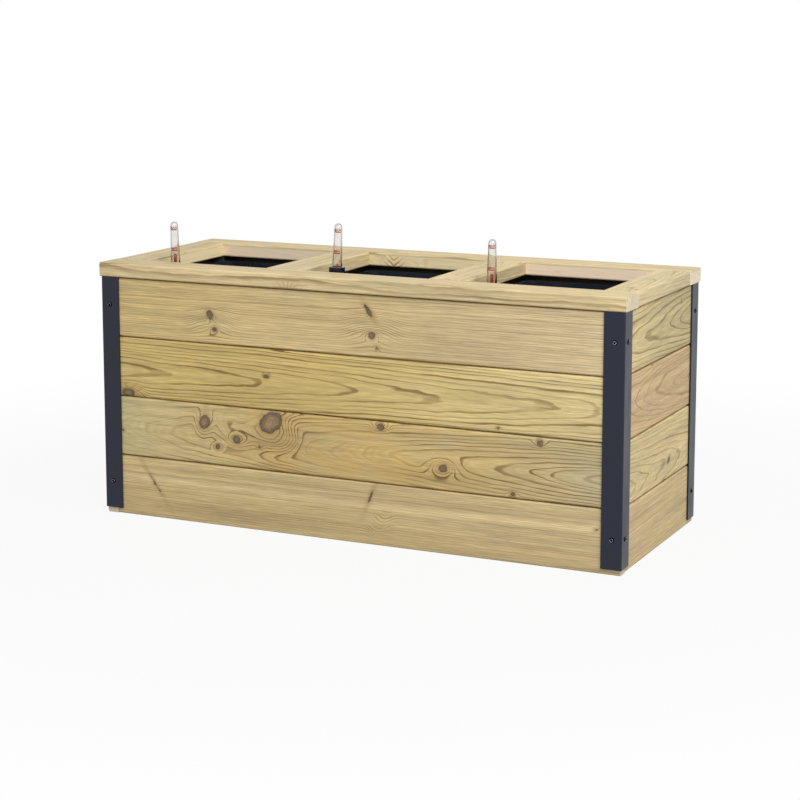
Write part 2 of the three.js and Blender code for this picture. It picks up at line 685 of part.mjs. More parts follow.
// Gauge standing on the liner's floor. The shaft can be pulled up in its sleeve, the float stays down.
function addGauge(group, insert) {
  const lean = THREE.MathUtils.degToRad(insert.gaugeLean);
  const footClearance = FIT_GAP + SHAFT_RADIUS * Math.abs(Math.sin(lean));
  const gauge = new THREE.Group();
  gauge.position.set(gaugeX(insert, 0), gaugeY, linerBottom + LINER_FLOOR + footClearance);
  gauge.rotation.y = lean;
  const shaft = addPiece(gauge, `gauge_shaft_${insert.side}`, gaugeShaft(), blackPlastic);
  const tube = addPiece(gauge, `gauge_sight_tube_${insert.side}`, sightTube(), clearPlastic);
  shaft.position.z = insert.gaugeLift;
  tube.position.z = insert.gaugeLift;
  addPiece(gauge, `gauge_float_${insert.side}`, gaugeFloat(), floatFoam);
  addPiece(gauge, `gauge_rod_${insert.side}`, gaugeRod(), redPlastic);
  group.add(gauge);
}

function addInserts(group) {
  INSERTS.forEach((insert, index) => {
    const place = new THREE.Group();
    place.position.x = insertCentre(index);
    const liner = addPiece(place, `liner_${insert.side}`, linerTub(), blackPlastic);
    liner.position.z = linerBottom;
    const separator = addPiece(place, `separator_${insert.side}`, separatorPlate(), blackPlastic);
    separator.position.z = linerBottom;
    const basket = addPiece(place, `wicking_basket_${insert.side}`, wickingBasket(), blackPlastic);
    basket.position.z = linerBottom;
    addGauge(place, insert);
    group.add(place);
  });
}

const planter = new THREE.Group();
addWall(planter, 'front', 0, woodLength, woodDepth / 2);
addWall(planter, 'right', quarterTurn, woodDepth, woodLength / 2);
addWall(planter, 'back', 2 * quarterTurn, woodLength, woodDepth / 2);
addWall(planter, 'left', 3 * quarterTurn, woodDepth, woodLength / 2);
addCorners(planter);
addFloor(planter);
addTopFrame(planter);
addInserts(planter);

export default planter;
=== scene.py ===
"""Looks of a self-watering wooden planter: boards, top frame, steel angles, liners and level gauges.

Metres in Blender, with sizes written in millimetres. +Z is up and -Y is the front.
"""

import functools
import json
import math

import bmesh
import bpy
from mathutils import Matrix, Vector


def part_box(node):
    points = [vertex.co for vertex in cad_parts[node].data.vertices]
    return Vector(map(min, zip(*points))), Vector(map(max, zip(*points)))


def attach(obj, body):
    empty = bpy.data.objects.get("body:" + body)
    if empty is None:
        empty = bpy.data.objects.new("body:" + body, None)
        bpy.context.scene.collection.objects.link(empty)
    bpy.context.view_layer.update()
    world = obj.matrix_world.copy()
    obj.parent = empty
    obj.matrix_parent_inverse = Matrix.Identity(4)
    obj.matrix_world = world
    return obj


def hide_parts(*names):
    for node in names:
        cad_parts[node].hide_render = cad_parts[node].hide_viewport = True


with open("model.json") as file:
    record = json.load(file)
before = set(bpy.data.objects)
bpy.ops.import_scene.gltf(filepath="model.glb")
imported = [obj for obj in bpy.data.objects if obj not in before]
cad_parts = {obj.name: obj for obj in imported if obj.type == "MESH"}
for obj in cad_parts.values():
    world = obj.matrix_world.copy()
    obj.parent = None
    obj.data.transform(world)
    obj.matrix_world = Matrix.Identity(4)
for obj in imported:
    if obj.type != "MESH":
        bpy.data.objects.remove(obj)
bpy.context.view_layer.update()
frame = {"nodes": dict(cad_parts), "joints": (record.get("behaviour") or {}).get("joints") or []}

MM = 0.001
TURN = 2 * math.pi

# Camera: place in millimetres, yaw and pitch in degrees, lens in millimetres on a 36 mm sensor
CAMERA_PLACE = (1693.2, -3554.8, 1030.0)
CAMERA_YAW = 25.39
CAMERA_PITCH = 8.67
CAMERA_LENS = 90.99
CAMERA_SHIFT = -0.12

# Boards of the walls
COURSES = 4
BOARD_PITCH = 120
BOARD_EDGE_RADIUS = 4
BOARD_JOINT = 2.1
BOARD_BACK_EASE = 1.5
TONGUE_THICKNESS = 8
TONGUE_HEIGHT = 8
GROOVE_WIDTH = 8.8
GROOVE_DEPTH = 9
BOARD_WARP = 0.9

# Top frame
RAIL_EDGE_RADIUS = 4
RAIL_END_EASE = 1.2
RAIL_WARP = 0.5

# Lengthwise steps that let a timber warp, and the length over which it does
WARP_STEP = 60
WARP_LENGTH = 420

# Steel angles and their countersunk screws
ANGLE_LEG = 40
ANGLE_THICKNESS = 3
ANGLE_CORNER_RADIUS = 3
ANGLE_ARRIS = 0.5
SCREW_HOLE_RADIUS = 2.6
SCREW_HEAD_RADIUS = 4.8
COUNTERSINK_RADIUS = 5
COUNTERSINK_DEPTH = 2.4
SCREW_FROM_CORNER = 19
SCREW_FROM_END = 55
SCREW_SOCKET_RADIUS = 2.5
SCREW_SOCKET_DEPTH = 0.8
SCREW_RISE = 1.9
SCREW_SHANK_LENGTH = 9
SCREW_SHANK_RADIUS = 2.1
SCREW_POINT_LENGTH = 3
SCREW_LOBE_GAP = 0.8
SCREW_SUNK = 0.1

# Liner tubs
LINER_WALL = 3.5
LINER_CORNER_RADIUS = 22
LINER_DRAFT = 4.7
LINER_FOOT_RADIUS = 3
LIP_WIDTH = 5
LIP_HEIGHT = 10
LIP_ROUND = 1.2

# Level gauges, measured along their axis from the foot of the shaft
FLOAT_LENGTH = 40
FLOAT_RADIUS = 7.5
FLOAT_EDGE_RADIUS = 2
SHAFT_RADIUS = 10
SHAFT_BORE_RADIUS = 8.5
COLLAR_HEIGHT = 30
COLLAR_RADIUS = 17
COLLAR_RIBS = 18
COLLAR_RIB_DEPTH = 1.4
COLLAR_EDGE = 1.0
GUIDE_RADIUS = 1.9
GUIDE_THICKNESS = 3
SIGHT_HEIGHT = 84
SIGHT_SEAT = 12
SIGHT_BASE_RADIUS = 9.8
SIGHT_TOP_RADIUS = 7.7
SIGHT_WALL = 1.2
ROD_RADIUS = 1.5
ROD_SOCKET_DEPTH = 12
POINTER_RADIUS = 3
POINTER_ABOVE_COLLAR = 19.5
MARK_TURN = 14
MARK_LETTER_SIZE = 6.4
MARK_LETTER_BOLD = 0.15
MARK_THICKNESS = 0.15
MARK_BAR = (12.6, 2.0)
MARK_BAR_DROP = 1.8
MARK_STAND_OFF = 4
MARKS = {"MAX": 14.5, "MIN": 55.5}

SIDES = ("left", "middle", "right")
CORNERS = {"front_right": (1, -1), "back_right": (1, 1), "back_left": (-1, 1), "front_left": (-1, -1)}


def mm(*lengths):
    return Vector(lengths) * MM


def linear(colour):
    """sRGB hex colour as the linear RGBA that shaders use."""
    channels = [int(colour[i:i + 2], 16) / 255 for i in (1, 3, 5)]
    return [c / 12.92 if c <= 0.04045 else ((c + 0.055) / 1.055) ** 2.4 for c in channels] + [1.0]


def place_camera():
    camera = bpy.data.objects.new("camera", bpy.data.cameras.new("camera"))
    bpy.context.scene.collection.objects.link(camera)
    camera.location = mm(*CAMERA_PLACE)
    camera.rotation_euler = (math.radians(90 - CAMERA_PITCH), 0, math.radians(CAMERA_YAW))
    camera.data.lens = CAMERA_LENS
    camera.data.shift_y = CAMERA_SHIFT
    bpy.context.scene.camera = camera


place_camera()


# Modelling by hand

def deselect():
    bpy.ops.object.select_all(action="DESELECT")


def choose(piece):
    """Makes the piece the one that operators act on."""
    deselect()
    piece.select_set(True)
    bpy.context.view_layer.objects.active = piece


def settle(name):
    """Names the new piece and puts its place, turn and size into its mesh."""
    piece = bpy.context.active_object
    piece.name = name
    piece.data.name = name
    bpy.ops.object.transform_apply(location=True, rotation=True, scale=True)
    return piece


def block(name, low, high):
    """Starts a piece as a block between two corners."""
    deselect()
    bpy.ops.mesh.primitive_cube_add(size=1, location=(low + high) / 2, scale=high - low)
    return settle(name)


def pick(kind, test):
    """Selects what passes the test among the faces, edges or points of the piece in edit mode."""
    bpy.ops.mesh.select_mode(type=kind)
    bpy.ops.mesh.select_all(action="DESELECT")
    mesh = bmesh.from_edit_mesh(bpy.context.edit_object.data)
    for element in {"VERT": mesh.verts, "EDGE": mesh.edges, "FACE": mesh.faces}[kind]:
        element.select_set(test(element))
    mesh.select_flush_mode()
    bmesh.update_edit_mesh(bpy.context.edit_object.data)


def near(a, b):
    return abs(a - b) < 0.02 * MM


def lies_along(edge, axis):
    """True where an edge runs along one axis."""
    step = edge.verts[0].co - edge.verts[1].co
    return all(near(step[i], 0) for i in range(3) if i != axis)


def extrude(*step):
    bpy.ops.mesh.extrude_region_move(TRANSFORM_OT_translate={"value": mm(*step)})


def bevel(radius, segments):
    bpy.ops.mesh.bevel(offset=radius * MM, segments=segments, affect="EDGES")


def copy_piece(source, name, turn=0.0, shift=(0, 0, 0)):
    """Copy with its own mesh, turned about the planter's middle and then moved."""
    choose(source)
    bpy.ops.object.duplicate(linked=False)
    bpy.ops.transform.rotate(value=turn, orient_axis="Z", center_override=(0, 0, 0))
    bpy.ops.transform.translate(value=shift)
    return settle(name)


def modify(piece, kind, **settings):
    """Adds a modifier with its settings and applies it."""
    choose(piece)
    modifier = piece.modifiers.new(kind.lower(), kind)
    for key, value in settings.items():
        setattr(modifier, key, value)
    bpy.ops.object.modifier_apply(modifier=modifier.name)


def smooth(piece, angle=35):
    """Soft shading over rounded edges, with the flat faces left flat."""
    choose(piece)
    bpy.ops.object.shade_smooth_by_angle(angle=math.radians(angle))
    modify(piece, "WEIGHTED_NORMAL", keep_sharp=True)


def close_up(piece):
    """Merges doubled points and turns the faces outwards."""
    bpy.ops.mesh.select_all(action="SELECT")
    bpy.ops.mesh.remove_doubles(threshold=0.01 * MM)
    bpy.ops.mesh.normals_make_consistent(inside=False)
    bpy.ops.object.mode_set(mode="OBJECT")
    return piece


def show(piece, body, slot, material, *nodes):
    """Hangs a finished piece on its body, in place of the nodes that it stands for."""
    piece.data.materials.clear()
    piece.data.materials.append(material)
    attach(piece, body)
    if nodes:
        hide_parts(*nodes)


# Shader nodes

# Settings that many nodes share: a soft step, a mix of colours and a product of colours
SOFT_STEP = {"interpolation_type": "SMOOTHSTEP"}
COLOURS = {"data_type": "RGBA"}
PRODUCT = {"data_type": "RGBA", "blend_type": "MULTIPLY"}


def connect(target, inputs):
    """Links a node's inputs where a node or a socket is given, and sets them otherwise."""
    for key, value in inputs.items() if isinstance(inputs, dict) else enumerate(inputs):
        if isinstance(value, bpy.types.Node):
            value = next(output for output in value.outputs if output.enabled)
        if isinstance(value, bpy.types.NodeSocket):
            target.id_data.links.new(value, target.inputs[key])
        else:
            target.inputs[key].default_value = value


def node(tree, kind, inputs=(), stops=(), **settings):
    """Adds a node with its settings, its inputs by name or in order, and the stops of a colour ramp. The
    first two stops are the ends of the ramp."""
    added = tree.nodes.new(f"ShaderNode{kind}")
    for key, value in settings.items():
        setattr(added, key, value)
    connect(added, inputs)
    for index, (position, colour) in enumerate(stops):
        elements = added.color_ramp.elements
        element = elements[index] if index < 2 else elements.new(position)
        element.position = position
        element.color = colour
    return added


def new_material(name):
    """Material with its node tree, its shader and its Object coordinates in millimetres."""
    material = bpy.data.materials.new(name)
    material.use_nodes = True
    tree = material.node_tree
    spot = node(tree, "TexCoord").outputs["Object"]
    in_mm = node(tree, "VectorMath", (spot, (1 / MM,) * 3), operation="MULTIPLY")
    return material, tree, tree.nodes["Principled BSDF"], in_mm


# Pine tones: planed sapwood, straw, tan, honey, orange-yellow, the grey-green of the treatment, pinkish
SAPWOOD = "#e0cb9a"
STRAW = "#d9c89b"
TAN = "#d4be8d"
HONEY = "#d0b87d"
AMBER = "#d4b779"
SAGE = "#c3b58d"
OLIVE = "#c0aa7d"
ROSE = "#d2b68e"
END_GRAIN = "#efe4cb"
# Inner sides of the rails, rose and gold: partly the wood's own tone, partly painted light that brightens
# faces in the openings' shade
LIT_INNER_ROSE = "#ffe8ca"
LIT_INNER_GOLD = "#ffebba"
LATEWOOD = "#9a8058"
KNOT_HALO = "#a3814f"
KNOT_BARK = "#4d3c2b"
KNOT_DARK = "#735d47"
KNOT_PALE = "#ab9169"
# Painted shade: the dark brown put on inner faces and hidden timbers, where the box lies in shade
PAINTED_SHADE_BROWN = "#241d15"
PINE_IOR = 1.53

# Length, width and depth of the wood's lumps in millimetres. Fibres, pores and saw marks are drawn coarser
# than real ones, so that they show in the render.
RING_WANDER = (300, 70, 70)
TONE_PATCH = (190, 60, 60)
FIBRE = (48, 1.9, 1.9)
PORE = (45, 1.5, 1.5)
SAW_MARK = (2.6, 2.6, 2.6)
LINE_FADE = (170, 22, 22)
STREAK = (420, 15, 15)
LINE_WAVER = (55, 16, 16)
KNOT_EDGE = (11, 11, 11)
KNOT_TONE = (34, 34, 34)

# Growth rings: how far lines waver, how uneven the years are, how much of a year is dark latewood on flat
# and on steep rings, how much of that is its soft start, and the fine rings within a year
LINE_WAVER_HEIGHT = 2.4
YEAR_UNEVEN = 2.2
LATE_SHARE = (0.24, 0.44)
LATE_START = 0.55
SUB_RINGS = 3

# Knots: how far they push the rings, how wide their own rings are and how uneven their edge is
FAR = 1e6
KNOT_SWELL = 2.6
KNOT_SWELL_STRETCH = 1.7
KNOT_SWELL_HEIGHT = 1.7
KNOT_SWELL_MOST = 13
KNOT_RING = 4.2
KNOT_UNEVEN = 7.0

# Bands of tone and figures: how much their edges and lines waver, and how the lines show and fade outwards
BAND_WAVER = 14
BAND_FADE = 10
FIGURE_WAVER = 9.0
FAN_SHOWN = ((0.0, 0.9, 0.2, 1.0), (0.1, 1.0, 0.85, 0.0))
CHEVRON_SHOWN = ((0.1, 0.9, 0.0, 1.0), (0.2, 1.0, 0.9, 0.0))

# Depth below a rail's top face over which its sides take a paler tone, partly the wood's own and partly
# painted light on faces that the openings shade, and the height of the grain
LIT_SIDE_RANGE = (-7, -3)
GRAIN_HEIGHT = 0.4


def pine_timber(name, along, across, origin, reach, grain):
    """Planed, pressure-treated pine: growth rings cut by the face, dark latewood lines that swing round
    the knots, fine fibres, and tones that drift from straw to grey-green. Matt, with a slight sheen.

    The ring pattern is that of a log whose pith lies beside or behind the face, so faces, edges and
    ends agree. Places on a board run along, across and out of its face, from the origin."""
    material, tree, shader, spot = new_material(name)
    add = functools.partial(node, tree)
    u, v = Vector(along), Vector(across)
    axes = Matrix((u, v, u.cross(v)))
    board = add("Mapping", {
        "Vector": spot, "Location": axes @ Vector(origin) / -MM, "Rotation": axes.to_euler(),
    })
    place = add("SeparateXYZ", [board]).outputs

    def field(size, detail, offset):
        """Noise with lumps of the given length, width and depth."""
        scaled = add("VectorMath", (board, [1 / s for s in size], (grain["seed"], offset, 0)),
                     operation="MULTIPLY_ADD")
        return add("TexNoise", {"Vector": scaled, "Scale": 1.0, "Detail": detail})

    def seen_from(centre, radii, tilt=0):
        """Places on the board as seen from a centre, in radii of an ellipsoid."""
        return add("Mapping", {
            "Vector": board, "Location": centre, "Rotation": (0, 0, math.radians(tilt)), "Scale": radii,
        }, vector_type="TEXTURE")

    def away_from(centre, radii, tilt=0):
        """Distance from a centre, in radii of an ellipsoid."""
        return add("VectorMath", [seen_from(centre, radii, tilt)], operation="LENGTH")

    def stops_along(tones):
        """Stops of a colour ramp from places along the timber."""
        return [((at + reach) / (2 * reach), linear(tone)) for at, tone in tones]

    # Distance from the pith, which runs at a slope behind the face and wanders a little
    pith_across, pith_depth, pith_drift, pith_slope = grain["pith"]
    turn = Vector((1, pith_drift, -pith_slope)).rotation_difference(Vector((1, 0, 0))).to_matrix()
    log = add("Mapping", {
        "Vector": board, "Location": -(turn @ Vector((0, pith_across, -pith_depth))),
        "Rotation": turn.to_euler(),
    })
    wander = (grain.get("wander", 9),) * 3
    drifted = add("VectorMath", (field(RING_WANDER, 3, 0).outputs["Color"], wander, log),
                  operation="MULTIPLY_ADD")
    radial = add("VectorMath", (drifted, (0, 1, 1)), operation="MULTIPLY")
    ring = add("VectorMath", [radial], operation="LENGTH")
    sideways = add("Math", [add("SeparateXYZ", [drifted]).outputs["Y"]], operation="ABSOLUTE")
    steepness = add("Math", (sideways, ring), operation="DIVIDE")

    # Rings waver and swell round knots and over burls, and the nearest knot gives the colour
    waver = add("Math", (field(LINE_WAVER, 4, 19), 0.5), operation="SUBTRACT")
    ring = add("Math", (waver, LINE_WAVER_HEIGHT, ring), operation="MULTIPLY_ADD")
    swells = [(swell[:3], swell[3:6], *swell[6:]) for swell in grain.get("swells", ())]
    nearest = None
    for knot_along, knot_across, radius, stretch, tilt in grain.get("knots", ()):
        centre = (knot_along, knot_across, 0)
        core = away_from(centre, (radius * stretch, radius, FAR), tilt)
        outside = add("Math", (core, 1.0), operation="SUBTRACT")
        edge = add("Math", (outside, radius), operation="MULTIPLY")
        nearest = edge if nearest is None else add("Math", (nearest, edge), operation="MINIMUM")
        swell_across = KNOT_SWELL * radius
        height = min(KNOT_SWELL_HEIGHT * radius, KNOT_SWELL_MOST)
        swells.append((centre, (KNOT_SWELL_STRETCH * swell_across, swell_across, FAR), height, tilt))
    strength = grain.get("lines", 0.6)
    for centre, radii, height, tilt in swells:
        away = away_from(centre, radii, tilt)
        rise = add("MapRange", (away, 0.0, 1.0, height, 0.0), interpolation_type="SMOOTHERSTEP")
        ring = add("Math", (ring, rise), operation="ADD")
        stronger = add("MapRange", (away, 0.5, 1.0, 0.4, 0.0), **SOFT_STEP)
        strength = add("Math", (strength, stronger), operation="ADD")

    # Growth rings: uneven years, each with its own darkness, sharp on the bark side
    slow = add("Math", (ring, 1 / (4 * grain["ring"])), operation="MULTIPLY")
    uneven_year = add("TexNoise", {"W": slow, "Scale": 1.0, "Detail": 1.0}, noise_dimensions="1D")
    years = add("Math", (ring, grain["ring"]), operation="DIVIDE")
    count = add("Math", (uneven_year, YEAR_UNEVEN, years), operation="MULTIPLY_ADD")
    whole = add("Math", [count], operation="FLOOR")
    part = add("Math", [count], operation="FRACT")
    darkness = add("TexWhiteNoise", {"W": whole}, noise_dimensions="1D")
    width = add("MapRange", (steepness, 0.0, 0.8, *LATE_SHARE))
    late_start = add("Math", (1.0, width), operation="SUBTRACT")
    late_full = add("Math", (width, LATE_START - 1, 1.0), operation="MULTIPLY_ADD")
    late = add("MapRange", (part, late_start, late_full, 0.0, 1.0), **SOFT_STEP)
    rising = add("Math", (part, 3.0), operation="POWER")
    early = add("Math", (rising, 0.3), operation="MULTIPLY")
    late = add("Math", (late, early), operation="MAXIMUM")
    fades = [
        add("MapRange", (part, 0.96, 1.0, 1.0, 0.2)),
        add("MapRange", (darkness, 0.0, 1.0, 0.45, 1.0)),
        add("MapRange", (field(LINE_FADE, 2, 9), 0.35, 0.6, 0.5, 1.0), **SOFT_STEP),
    ]
    for calm_along, calm_across, half_length, half_width in grain.get("calm", ()):
        away = away_from((calm_along, calm_across, 0), (half_length, half_width, FAR))
        fades.append(add("MapRange", (away, 0.5, 1.2, 0.2, 1.0), **SOFT_STEP))
    for fade in fades:
        late = add("Math", (late, fade), operation="MULTIPLY")

    # Tones along the board, the treatment's grey-green in patches, bands, and the sides' paler tone, partly
    # painted light
    patch = field(TONE_PATCH, 2, 7)
    straight = add("Math", (place["X"], 1 / (2 * reach), 0.35), operation="MULTIPLY_ADD")
    run = add("Math", (patch, 0.3, straight), operation="MULTIPLY_ADD")
    tones = sorted(grain["tones"])
    tone = add("ValToRGB", [run], stops_along([tones[0], tones[-1], *tones[1:-1]]))
    greenish = add("MapRange", (patch, 0.5, 0.72, 0.0, grain.get("sage", 0.3)), **SOFT_STEP)
    tone = add("Mix", {0: greenish, 6: tone, 7: linear(SAGE)}, **COLOURS)
    for at, half_width, share, colour in grain.get("bands", ()):
        beside = add("Math", (place["Y"], at), operation="SUBTRACT")
        offset = add("Math", [beside], operation="ABSOLUTE")
        wavy = add("Math", (patch, BAND_WAVER, offset), operation="MULTIPLY_ADD")
        shown = add("MapRange", (wavy, half_width, half_width + BAND_FADE, share, 0.0), **SOFT_STEP)
        tone = add("Mix", {0: shown, 6: tone, 7: linear(colour)}, **COLOURS)
    # A rail's sides take a paler tone: partly the wood's own, partly painted light on faces in shade
    if "edge" in grain:
        lit_side = add("MapRange", (place["Z"], *LIT_SIDE_RANGE, 1.0, 0.0), **SOFT_STEP)
        lit_side_run = add("Math", (place["X"], 1 / (2 * reach), 0.5), operation="MULTIPLY_ADD")
        lit_side_tone = add("ValToRGB", [lit_side_run], stops_along(grain["edge"]))
        tone = add("Mix", {0: lit_side, 6: tone, 7: lit_side_tone}, **COLOURS)

    # Latewood lines, then fibres, streaks and fine rings as light and shade, then open pores
    dark = add("Mix", {0: 1.0, 6: tone, 7: linear(LATEWOOD)}, **PRODUCT)
    lined = add("Math", (late, strength), operation="MULTIPLY")
    wood = add("Mix", {0: lined, 6: tone, 7: dark}, **COLOURS)
    fibre = field(FIBRE, 4, 3)
    streak = field(STREAK, 5, 17)
    fine = add("Math", (count, SUB_RINGS * TURN), operation="MULTIPLY")
    sub_ring = add("Math", [fine], operation="SINE")
    for shading in (
        (fibre, 0.3, 0.7, 0.78, 1.14), (streak, 0.3, 0.7, 0.78, 1.14), (sub_ring, -1.0, 1.0, 0.95, 1.03),
    ):
        wood = add("Mix", {0: 1.0, 6: wood, 7: add("MapRange", shading)}, **PRODUCT)
    # The sides' paler tone, partly painted light, covers the grain there by a share
    if "edge" in grain:
        plain = add("Math", (lit_side, grain["edge_share"]), operation="MULTIPLY")
        wood = add("Mix", {0: plain, 6: wood, 7: lit_side_tone}, **COLOURS)
    pores = add("MapRange", (field(PORE, 2, 11), 0.66, 0.76, 0.0, 0.45), **SOFT_STEP)
    wood = add("Mix", {0: pores, 6: wood, 7: dark}, **COLOURS)

    # Figures: rays that fan out from a burl, and nested V lines
    figures = [(*fan, True) for fan in grain.get("fans", ())]
    figures += [(*chevron, False) for chevron in grain.get("chevrons", ())]
    for *figure, lines, is_fan in figures:
        there = seen_from(figure[:3], figure[3:])
        away = add("VectorMath", [there], operation="LENGTH")
        way = add("SeparateXYZ", [there]).outputs
        line_shown, fade_outwards = FAN_SHOWN if is_fan else CHEVRON_SHOWN
        if is_fan:
            upward = add("Math", (way["Y"], way["Z"]), operation="ADD")
            sweep = add("Math", (upward, way["X"]), operation="ARCTAN2")
        else:
            aside = add("Math", [way["X"]], operation="ABSOLUTE")
            sweep = add("Math", (aside, way["Z"]), operation="SUBTRACT")
        even = add("Math", (sweep, lines), operation="MULTIPLY")
        wavy = add("Math", (waver, FIGURE_WAVER, even), operation="MULTIPLY_ADD")
        line = add("MapRange", (add("Math", [wavy], operation="SINE"), *line_shown), **SOFT_STEP)
        fade = add("MapRange", (away, *fade_outwards), **SOFT_STEP)
        shown = add("Math", (line, fade), operation="MULTIPLY")
        wood = add("Mix", {0: shown, 6: wood, 7: linear(KNOT_HALO)}, **COLOURS)

    # Knots: a ringed heart, a broken dark rim of bark and a brown halo in the wood around
    if nearest is not None:
        uneven = add("Math", (field(KNOT_EDGE, 2, 5), 0.5), operation="SUBTRACT")
        rim = add("Math", (uneven, KNOT_UNEVEN, nearest), operation="MULTIPLY_ADD")
        lump = add("MapRange", (field(KNOT_TONE, 3, 27), 0.35, 0.6, 0.3, 1.0), **SOFT_STEP)
        inward = add("MapRange", (rim, -12.0, -4.0, 1.0, 0.1), **SOFT_STEP)
        deep = add("Math", (lump, inward), operation="MULTIPLY")
        heart = add("Mix", {0: deep, 6: linear(KNOT_DARK), 7: linear(KNOT_PALE)}, **COLOURS)
        even = add("Math", (rim, TURN / KNOT_RING), operation="MULTIPLY")
        wavy = add("Math", (uneven, 6.0, even), operation="MULTIPLY_ADD")
        ripple = add("MapRange", (add("Math", [wavy], operation="SINE"), -1.0, 1.0, 0.72, 1.12))
        heart = add("Mix", {0: 1.0, 6: heart, 7: ripple}, **PRODUCT)
        broken = add("MapRange", (field(KNOT_EDGE, 1, 23), 0.4, 0.6, 0.25, 1.0), **SOFT_STEP)
        outer = add("MapRange", (rim, -5.0, -0.8, 0.0, 1.0), **SOFT_STEP)
        bark = add("Math", (outer, broken), operation="MULTIPLY")
        heart = add("Mix", {0: bark, 6: heart, 7: linear(KNOT_BARK)}, **COLOURS)
        halo = add("MapRange", (rim, -0.5, 8.0, 0.45, 0.0), **SOFT_STEP)
        wood = add("Mix", {0: halo, 6: wood, 7: linear(KNOT_HALO)}, **COLOURS)
        within = add("MapRange", (rim, -1.4, 1.2, 0.95, 0.0), **SOFT_STEP)
        wood = add("Mix", {0: within, 6: wood, 7: heart}, **COLOURS)
    # A board's inner face is painted dark, as painted shade inside the box
    if "inside" in grain:
        depth = grain["inside"]
        painted_shade = add("MapRange", (place["Z"], 1.5 - depth, 2.5 - depth, 0.9, 0.0), **SOFT_STEP)
        wood = add("Mix", {0: painted_shade, 6: wood, 7: linear(PAINTED_SHADE_BROWN)}, **COLOURS)

    # Sawn ends are paler and rougher than planed faces
    normal = add("NewGeometry").outputs["Normal"]
    facing = add("VectorMath", (normal, u), operation="DOT_PRODUCT")
    end = add("MapRange", (add("Math", [facing], operation="ABSOLUTE"), 0.6, 0.9, 0.0, 1.0), **SOFT_STEP)
    paler = add("Math", (end, 0.55), operation="MULTIPLY")
    wood = add("Mix", {0: paler, 6: wood, 7: linear(END_GRAIN)}, **COLOURS)
    saw_mark = add("MapRange", (field(SAW_MARK, 3, 13), 0.35, 0.65, 0.78, 1.06))
    sawn = add("Mix", {0: 1.0, 6: wood, 7: saw_mark}, **PRODUCT)
    wood = add("Mix", {0: end, 6: wood, 7: sawn}, **COLOURS)
    planed = add("MapRange", (fibre, 0.3, 0.7, 0.56, 0.72))
    roughness = add("Math", (end, 0.15, planed), operation="MULTIPLY_ADD")
    relief = add("Math", (late, 0.5, fibre), operation="MULTIPLY_ADD")
    bump = add("Bump", {"Height": relief, "Strength": 0.35, "Distance": GRAIN_HEIGHT * MM})
    connect(shader, {"Base Color": wood, "Roughness": roughness, "Normal": bump, "IOR": PINE_IOR})
    return material


# Patches of dust on coats and mouldings, waves in the clear tubes and wear on the screws, in millimetres
DUST_PATCH = 90
MOULD_WAVE = 14
WEAR_PATCH = 2.5


def moulded(name, colour, roughness, ior, grain_size, relief):
    """Coated or moulded surface: one colour, with the fine skin that a coat or a mould leaves, which
    breaks up its gloss."""
    material, tree, shader, spot = new_material(name)
    skin = node(tree, "TexNoise", {"Vector": spot, "Scale": 1 / grain_size, "Detail": 2.0})
    dust = node(tree, "TexNoise", {"Vector": spot, "Scale": 1 / DUST_PATCH, "Detail": 3.0})
    dulled = node(tree, "MapRange", (dust, 0.3, 0.7, roughness - 0.05, roughness + 0.07))
    dusty = [1.25 * c for c in linear(colour)[:3]] + [1.0]
    shade = node(tree, "ValToRGB", [dust], [(0.3, linear(colour)), (0.75, dusty)])
    bump = node(tree, "Bump", {"Height": skin, "Strength": 0.3, "Distance": relief * MM})
    connect(shader, {"Base Color": shade, "Roughness": dulled, "Normal": bump, "IOR": ior})
    return material


def clear_styrene():
    """Clear injection-moulded styrene: glass-like, faintly smoky, with slight waves from the mould. It has
    painted shade: its tint is darker at the sides of a tube, where more of the wall lies in the line of
    sight."""
    material, tree, shader, spot = new_material("clear_styrene")
    wave = node(tree, "TexNoise", {"Vector": spot, "Scale": 1 / MOULD_WAVE, "Detail": 1.0})
    haze = node(tree, "MapRange", (wave, 0.3, 0.7, 0.01, 0.05))
    tint = node(tree, "ValToRGB", [wave], [(0.3, linear("#efedea")), (0.7, linear("#f8f7f5"))])
    # Painted shade: the tint turns grey where the tube's wall is seen edge-on
    grazing = node(tree, "LayerWeight", {"Blend": 0.5}).outputs["Facing"]
    painted_side_shade = node(tree, "MapRange", (grazing, 0.22, 0.62, 0.0, 1.0), **SOFT_STEP)
    tint = node(tree, "Mix", {0: painted_side_shade, 6: tint, 7: linear("#948e90")}, **COLOURS)
    connect(shader, {"Base Color": tint, "Roughness": haze, "Transmission Weight": 1.0, "IOR": 1.49})
    return material


def blackened_steel():
    """Blackened screw steel: dull black, and worn grey in patches round the edge of the socket."""
    material, tree, shader, spot = new_material("blackened_steel")
    wear = node(tree, "TexNoise", {"Vector": spot, "Scale": 1 / WEAR_PATCH, "Detail": 3.0})
    dulled = node(tree, "MapRange", (wear, 0.3, 0.7, 0.28, 0.48))
    worn = node(tree, "ValToRGB", [wear], [(0.42, linear("#33363b")), (0.55, linear("#ccd0d6"))])
    black = node(tree, "Attribute", attribute_name="black").outputs["Fac"]
    shade = node(tree, "Mix", {0: black, 6: worn, 7: linear("#08090b")}, **COLOURS)
    connect(shader, {"Base Color": shade, "Roughness": dulled, "Metallic": 1.0})
    return material


# Boards

WALLS = {
    "front": ((1, 0, 0), 1, "low"),
    "right": ((0, 1, 0), 0, "high"),
    "back": ((-1, 0, 0), 1, "high"),
    "left": ((0, -1, 0), 0, "low"),
}
